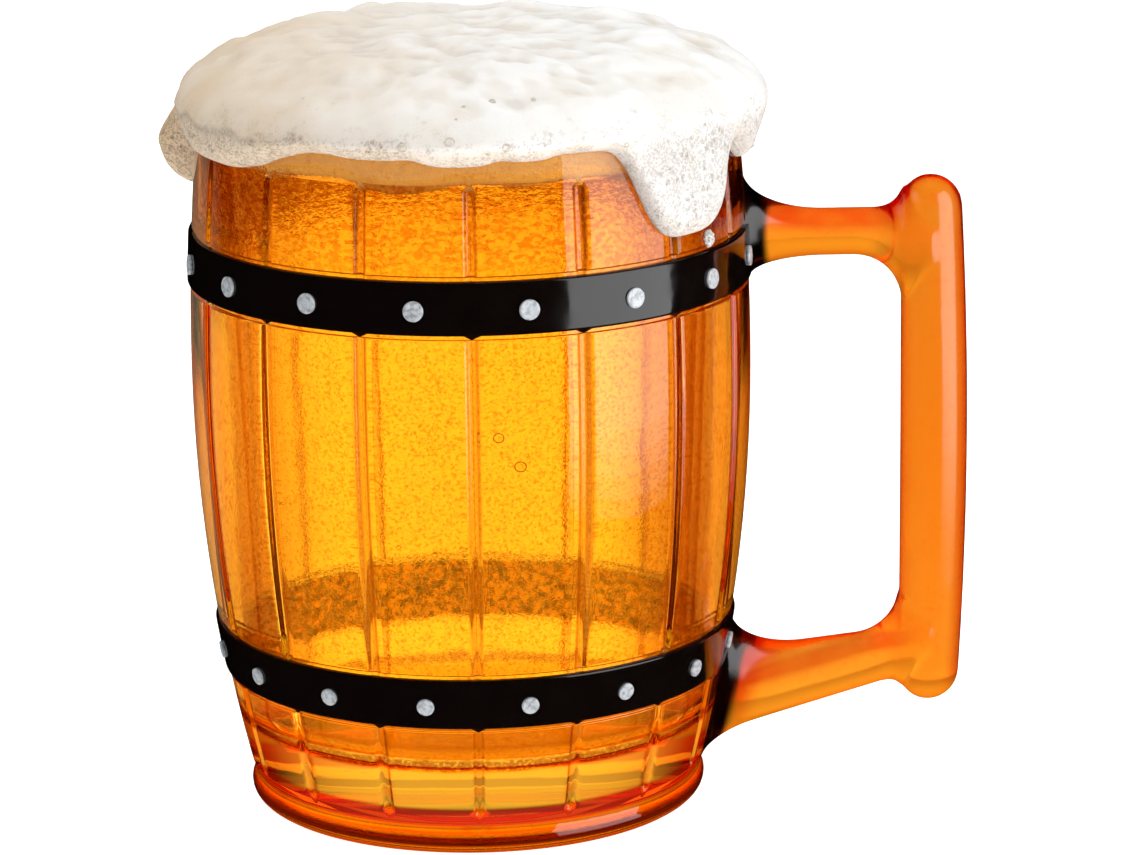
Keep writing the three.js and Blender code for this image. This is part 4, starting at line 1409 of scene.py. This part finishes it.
def mark_hollows(piece):
    """Notes on each point how far it lies below the smoothed foam, in millimetres, for the finish."""
    mesh = piece.data
    ends = numpy.array([edge.vertices[:] for edge in mesh.edges])
    places = numpy.array([vertex.co[:] for vertex in mesh.vertices])
    normals = numpy.array([vertex.normal[:] for vertex in mesh.vertices])
    count = numpy.bincount(ends.ravel())[:, None]
    smoothed = places
    for _ in range(24):
        around = numpy.zeros_like(places)
        numpy.add.at(around, ends[:, 0], smoothed[ends[:, 1]])
        numpy.add.at(around, ends[:, 1], smoothed[ends[:, 0]])
        smoothed = (smoothed + around / count) / 2
    depth = ((smoothed - places) * normals).sum(axis=1) / MM
    mesh.attributes.new("hollow", "FLOAT", "POINT").data.foreach_set("value", depth)


class MUG_OT_foam(bpy.types.Operator):
    """Draw the head of foam from its sections, then raise its billows, creases and curds"""

    bl_idname = "mug.foam"
    bl_label = "Foam"

    def execute(self, context):
        s = context.scene.mug_sizes
        fill = context.scene.fill_sizes
        rows = DOME_ROWS + LIP_ROWS + CONTACT_ROWS + PLUG_ROWS
        piece = fresh("head_of_foam", bpy.ops.mesh.primitive_uv_sphere_add, segments=FOAM_COLUMNS,
                      ring_count=rows, radius=1)
        free = piece.vertex_groups.new(name="free")
        sections = {}
        for vertex in piece.data.vertices:
            row = round(math.acos(max(-1.0, min(1.0, vertex.co.z))) / math.pi * rows)
            column = round(math.atan2(vertex.co.x, -vertex.co.y) / math.tau * FOAM_COLUMNS) % FOAM_COLUMNS
            bearing = column / FOAM_COLUMNS * math.tau
            if column not in sections:
                sections[column] = foam_section(s, fill, bearing)
            radius, height = sections[column][row]
            vertex.co = around(bearing, radius, height)
            loose = 1 - ease(row, DOME_ROWS + LIP_ROWS * 0.55, DOME_ROWS + LIP_ROWS - 2)
            crumpled = 0.35 + 0.65 * ease(height - s.glass_height, 5 * MM, 9.5 * MM)
            free.add([vertex.index], loose * crumpled, "REPLACE")
        displace(piece, "billows", "CLOUDS", 8 * MM, fill.billows, "free", noise_depth=1)
        displace(piece, "creases", "VORONOI", 9 * MM, fill.creases, "free", weight_1=-1.0, weight_2=1.0)
        displace(piece, "curds", "CLOUDS", 3 * MM, fill.curds, "free", noise_depth=2)
        piece.vertex_groups.clear()
        apply(piece, "Settle", "SMOOTH", factor=0.4, iterations=2)
        edit(piece)
        close_up(piece, 180)
        mark_hollows(piece)
        settle(piece, "foam", foam_finish(context.scene.mug_finish), "foam_head")
        return {"FINISHED"}


def foam_face():
    """A function that finds where a level ray from outside meets the foam, and which way it faces there."""
    foam = bpy.data.objects["head_of_foam"]
    tree = BVHTree.FromPolygons([v.co for v in foam.data.vertices],
                                [p.vertices for p in foam.data.polygons])
    return lambda level, bearing: tree.ray_cast(around(bearing, 0.1, level), around(bearing, -1, 0))


LARGE_FROTH = ((-12.5, 133.6, 0.95), (-3.5, 134.6, 1.0), (7.0, 133.4, 0.8), (3.5, 132.6, 0.5),
               (5.5, 140.0, 0.7), (-7.5, 132.8, 0.45))


class MUG_OT_froth(bpy.types.Operator):
    """Set larger bubbles into the lower face of the foam"""

    bl_idname = "mug.froth"
    bl_label = "Froth"

    def execute(self, context):
        s = context.scene.mug_sizes
        fill = context.scene.fill_sizes
        look = context.scene.mug_finish
        draw = random.Random(11)
        cast = foam_face()
        wanted = seen(LARGE_FROTH)
        for _ in range(fill.froth_count):
            bearing = math.tau * draw.random()
            hem = s.glass_height - fill.lip_drop - lobes(bearing, HANG)
            level = hem + MM + 9 * MM * draw.random() ** 1.6
            wanted.append((bearing, level, (0.18 + 0.4 * draw.random() ** 3) * MM))
        spots = []
        for bearing, level, radius in wanted:
            place, normal, _, _ = cast(level, bearing)
            if place is not None and normal.z > -0.6:
                spots.append((place - normal * radius * 0.35, radius))
        piece = scatter("froth", spots)
        settle(piece, "foam", bubble_finish("froth_film", FROTH_INDEX, look.froth, look.froth_rim_shade))
        return {"FINISHED"}


FLECK_BUBBLES = 70
FLECK_HALF_WIDTH = 1.25 * MM
FLECK_DEPTH = 0.9 * MM


class MUG_OT_fleck(bpy.types.Operator):
    """Heap up small bubbles into the fleck of foam above the upper hoop"""

    bl_idname = "mug.fleck"
    bl_label = "Fleck"

    def execute(self, context):
        s = context.scene.mug_sizes
        low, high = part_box("foam_fleck")
        middle = (low + high) / 2
        bearing = math.atan2(middle.x, -middle.y)
        out = around(bearing, 1, 0)
        side = Vector((math.cos(bearing), math.sin(bearing), 0))
        half_height = (high.z - low.z) / 2
        draw = random.Random(5)
        spots = []
        while len(spots) < FLECK_BUBBLES:
            across, up = draw.uniform(-1, 1), draw.uniform(-1, 1)
            if across * across + up * up > 1:
                continue
            radius = draw.uniform(0.22, 0.42) * MM
            depth = (1 - across * across - up * up) * FLECK_DEPTH * draw.random()
            level = middle.z + up * (half_height - radius)
            wall = stave_radius(s, level) + radius * 0.7 + depth
            spots.append((out * wall + side * across * FLECK_HALF_WIDTH + Vector((0, 0, level)), radius))
        piece = scatter("foam_drop", spots)
        settle(piece, "foam", foam_finish(context.scene.mug_finish), "foam_fleck")
        return {"FINISHED"}


TARGET = (18.245 * MM, -0.427 * MM, 69.5 * MM)
SENSOR = 36.0
FLOOR_SIZE = 8.0
BOX_SIZE = (0.267, 0.435)
BOX_PLACE = (0.272, -0.162)
BOX_FACE = (0.202, 0.395)
HEM_TOP = -0.0015
HEM_TALL = 0.012
HEM_STRIPS = 4
SIDE_PLACE = (0.275, -0.164, 0.182)
FILL_PLACE = (0.3, -0.7, 0.9)
TOP_PLACE = (-0.25, 0.3, 0.85)
SOFT_SIZE = (0.5, 0.5)
SOFT_AIM = (0, 0, 0.13)


def camera_pose(stage):
    """Where the camera stands, with its axes, from its two angles, its roll and its distance."""
    back = around(stage.azimuth, math.cos(stage.elevation), math.sin(stage.elevation))
    level = Vector((0, 0, 1)).cross(back).normalized()
    upright = back.cross(level)
    right = level * math.cos(stage.roll) - upright * math.sin(stage.roll)
    up = level * math.sin(stage.roll) + upright * math.cos(stage.roll)
    turned = Matrix((right, up, back)).transposed().to_4x4()
    return Matrix.Translation(Vector(TARGET) + back * stage.distance) @ turned


def area_light(name, place, aim, size, power):
    """A rectangular light that faces a point."""
    data = bpy.data.lights.new(name, "AREA")
    data.shape = "RECTANGLE"
    data.size, data.size_y = size
    data.energy = power
    light = bpy.data.objects.new(name, data)
    bpy.context.scene.collection.objects.link(light)
    way = Vector(aim) - Vector(place)
    light.matrix_world = Matrix.Translation(place) @ way.to_track_quat("-Z", "Y").to_matrix().to_4x4()
    return light


def hang_lights(stage):
    """The box light that the glass mirrors, fading out at its lower edge, and lights for the matt faces."""
    strips = [("box_light", *BOX_FACE, 1.0)]
    for i in range(HEM_STRIPS):
        strips.append((f"box_hem_{i + 1}", HEM_TOP - HEM_TALL * i, HEM_TALL, 0.8 - 0.2 * i))
    for name, level, tall, share in strips:
        strip = area_light(name, (*BOX_PLACE, level), (0, 0, level), (BOX_SIZE[0], tall),
                           stage.key * tall / BOX_SIZE[1] * share)
        strip.visible_diffuse = False
    side = area_light("side_light", SIDE_PLACE, (0, 0, SIDE_PLACE[2]), BOX_SIZE, stage.side)
    front = area_light("fill_light", FILL_PLACE, SOFT_AIM, SOFT_SIZE, stage.fill)
    top = area_light("top_light", TOP_PLACE, SOFT_AIM, SOFT_SIZE, stage.top)
    for light in (side, front, top):
        light.visible_glossy = False
        light.visible_transmission = False


class MUG_OT_stage(bpy.types.Operator):
    """Lay the floor, hang the lights and set up the camera"""

    bl_idname = "mug.stage"
    bl_label = "Stage"

    def execute(self, context):
        scene = context.scene
        stage = scene.stage_look
        floor = fresh("studio_floor", bpy.ops.mesh.primitive_plane_add, size=FLOOR_SIZE)
        edit(floor)
        select_all()
        bpy.ops.mesh.subdivide(number_cuts=3)
        bpy.ops.transform.translate(value=(0, 0, -stage.floor_drop))
        bpy.ops.object.mode_set(mode="OBJECT")
        floor.data.materials.append(floor_finish(scene.mug_finish, stage.floor_glow))
        floor.visible_glossy = False
        world = bpy.data.worlds.new("studio_light")
        world.use_nodes = True
        sky = world.node_tree.nodes["Background"]
        sky.inputs["Color"].default_value = (1.0, 1.0, 1.0, 1.0)
        sky.inputs["Strength"].default_value = stage.sky
        world.cycles_visibility.glossy = False
        world.cycles_visibility.diffuse = False
        scene.world = world
        hang_lights(stage)
        data = bpy.data.cameras.new("photo_camera")
        data.sensor_fit = "HORIZONTAL"
        data.sensor_width = SENSOR
        data.lens = stage.lens
        data.dof.use_dof = False
        camera = bpy.data.objects.new("photo_camera", data)
        scene.collection.objects.link(camera)
        camera.matrix_world = camera_pose(stage)
        scene.camera = camera
        scene.view_settings.view_transform = "Standard"
        scene.cycles.max_bounces = 28
        scene.cycles.transmission_bounces = 28
        scene.cycles.glossy_bounces = 8
        return {"FINISHED"}


class MUG_PT_panel(bpy.types.Panel):
    """Steps of the mug, and the values that they use"""

    bl_idname = "MUG_PT_panel"
    bl_label = "Barrel mug"
    bl_space_type = "VIEW_3D"
    bl_region_type = "UI"
    bl_category = "Mug"

    def draw(self, context):
        layout = self.layout
        for operator in OPERATORS:
            layout.operator(operator.bl_idname)
        for name in GROUPS:
            group = getattr(context.scene, name)
            box = layout.box()
            box.label(text=label(name))
            for key in group.__annotations__:
                box.prop(group, key, text=label(key))


OPERATORS = (MUG_OT_barrel, MUG_OT_hoops, MUG_OT_rivets, MUG_OT_handle, MUG_OT_beer, MUG_OT_fizz,
             MUG_OT_foam, MUG_OT_froth, MUG_OT_fleck, MUG_OT_stage)
GROUPS = {"mug_sizes": MugSizes, "handle_sizes": HandleSizes, "fill_sizes": FillSizes,
          "mug_finish": MugFinish, "stage_look": StageLook}


def register():
    """Registers the classes, and the values on the scene."""
    for cls in (*GROUPS.values(), *OPERATORS, MUG_PT_panel):
        bpy.utils.register_class(cls)
    for name, cls in GROUPS.items():
        setattr(bpy.types.Scene, name, PointerProperty(type=cls))


def unregister():
    """Takes the values and the classes away again."""
    for name in GROUPS:
        delattr(bpy.types.Scene, name)
    for cls in reversed((*GROUPS.values(), *OPERATORS, MUG_PT_panel)):
        bpy.utils.unregister_class(cls)


def main():
    """Builds everything in order."""
    register()
    bpy.ops.mug.barrel()
    bpy.ops.mug.hoops()
    bpy.ops.mug.rivets()
    bpy.ops.mug.handle()
    bpy.ops.mug.beer()
    bpy.ops.mug.fizz()
    bpy.ops.mug.foam()
    bpy.ops.mug.froth()
    bpy.ops.mug.fleck()
    bpy.ops.mug.stage()


if __name__ == "__main__":
    main()
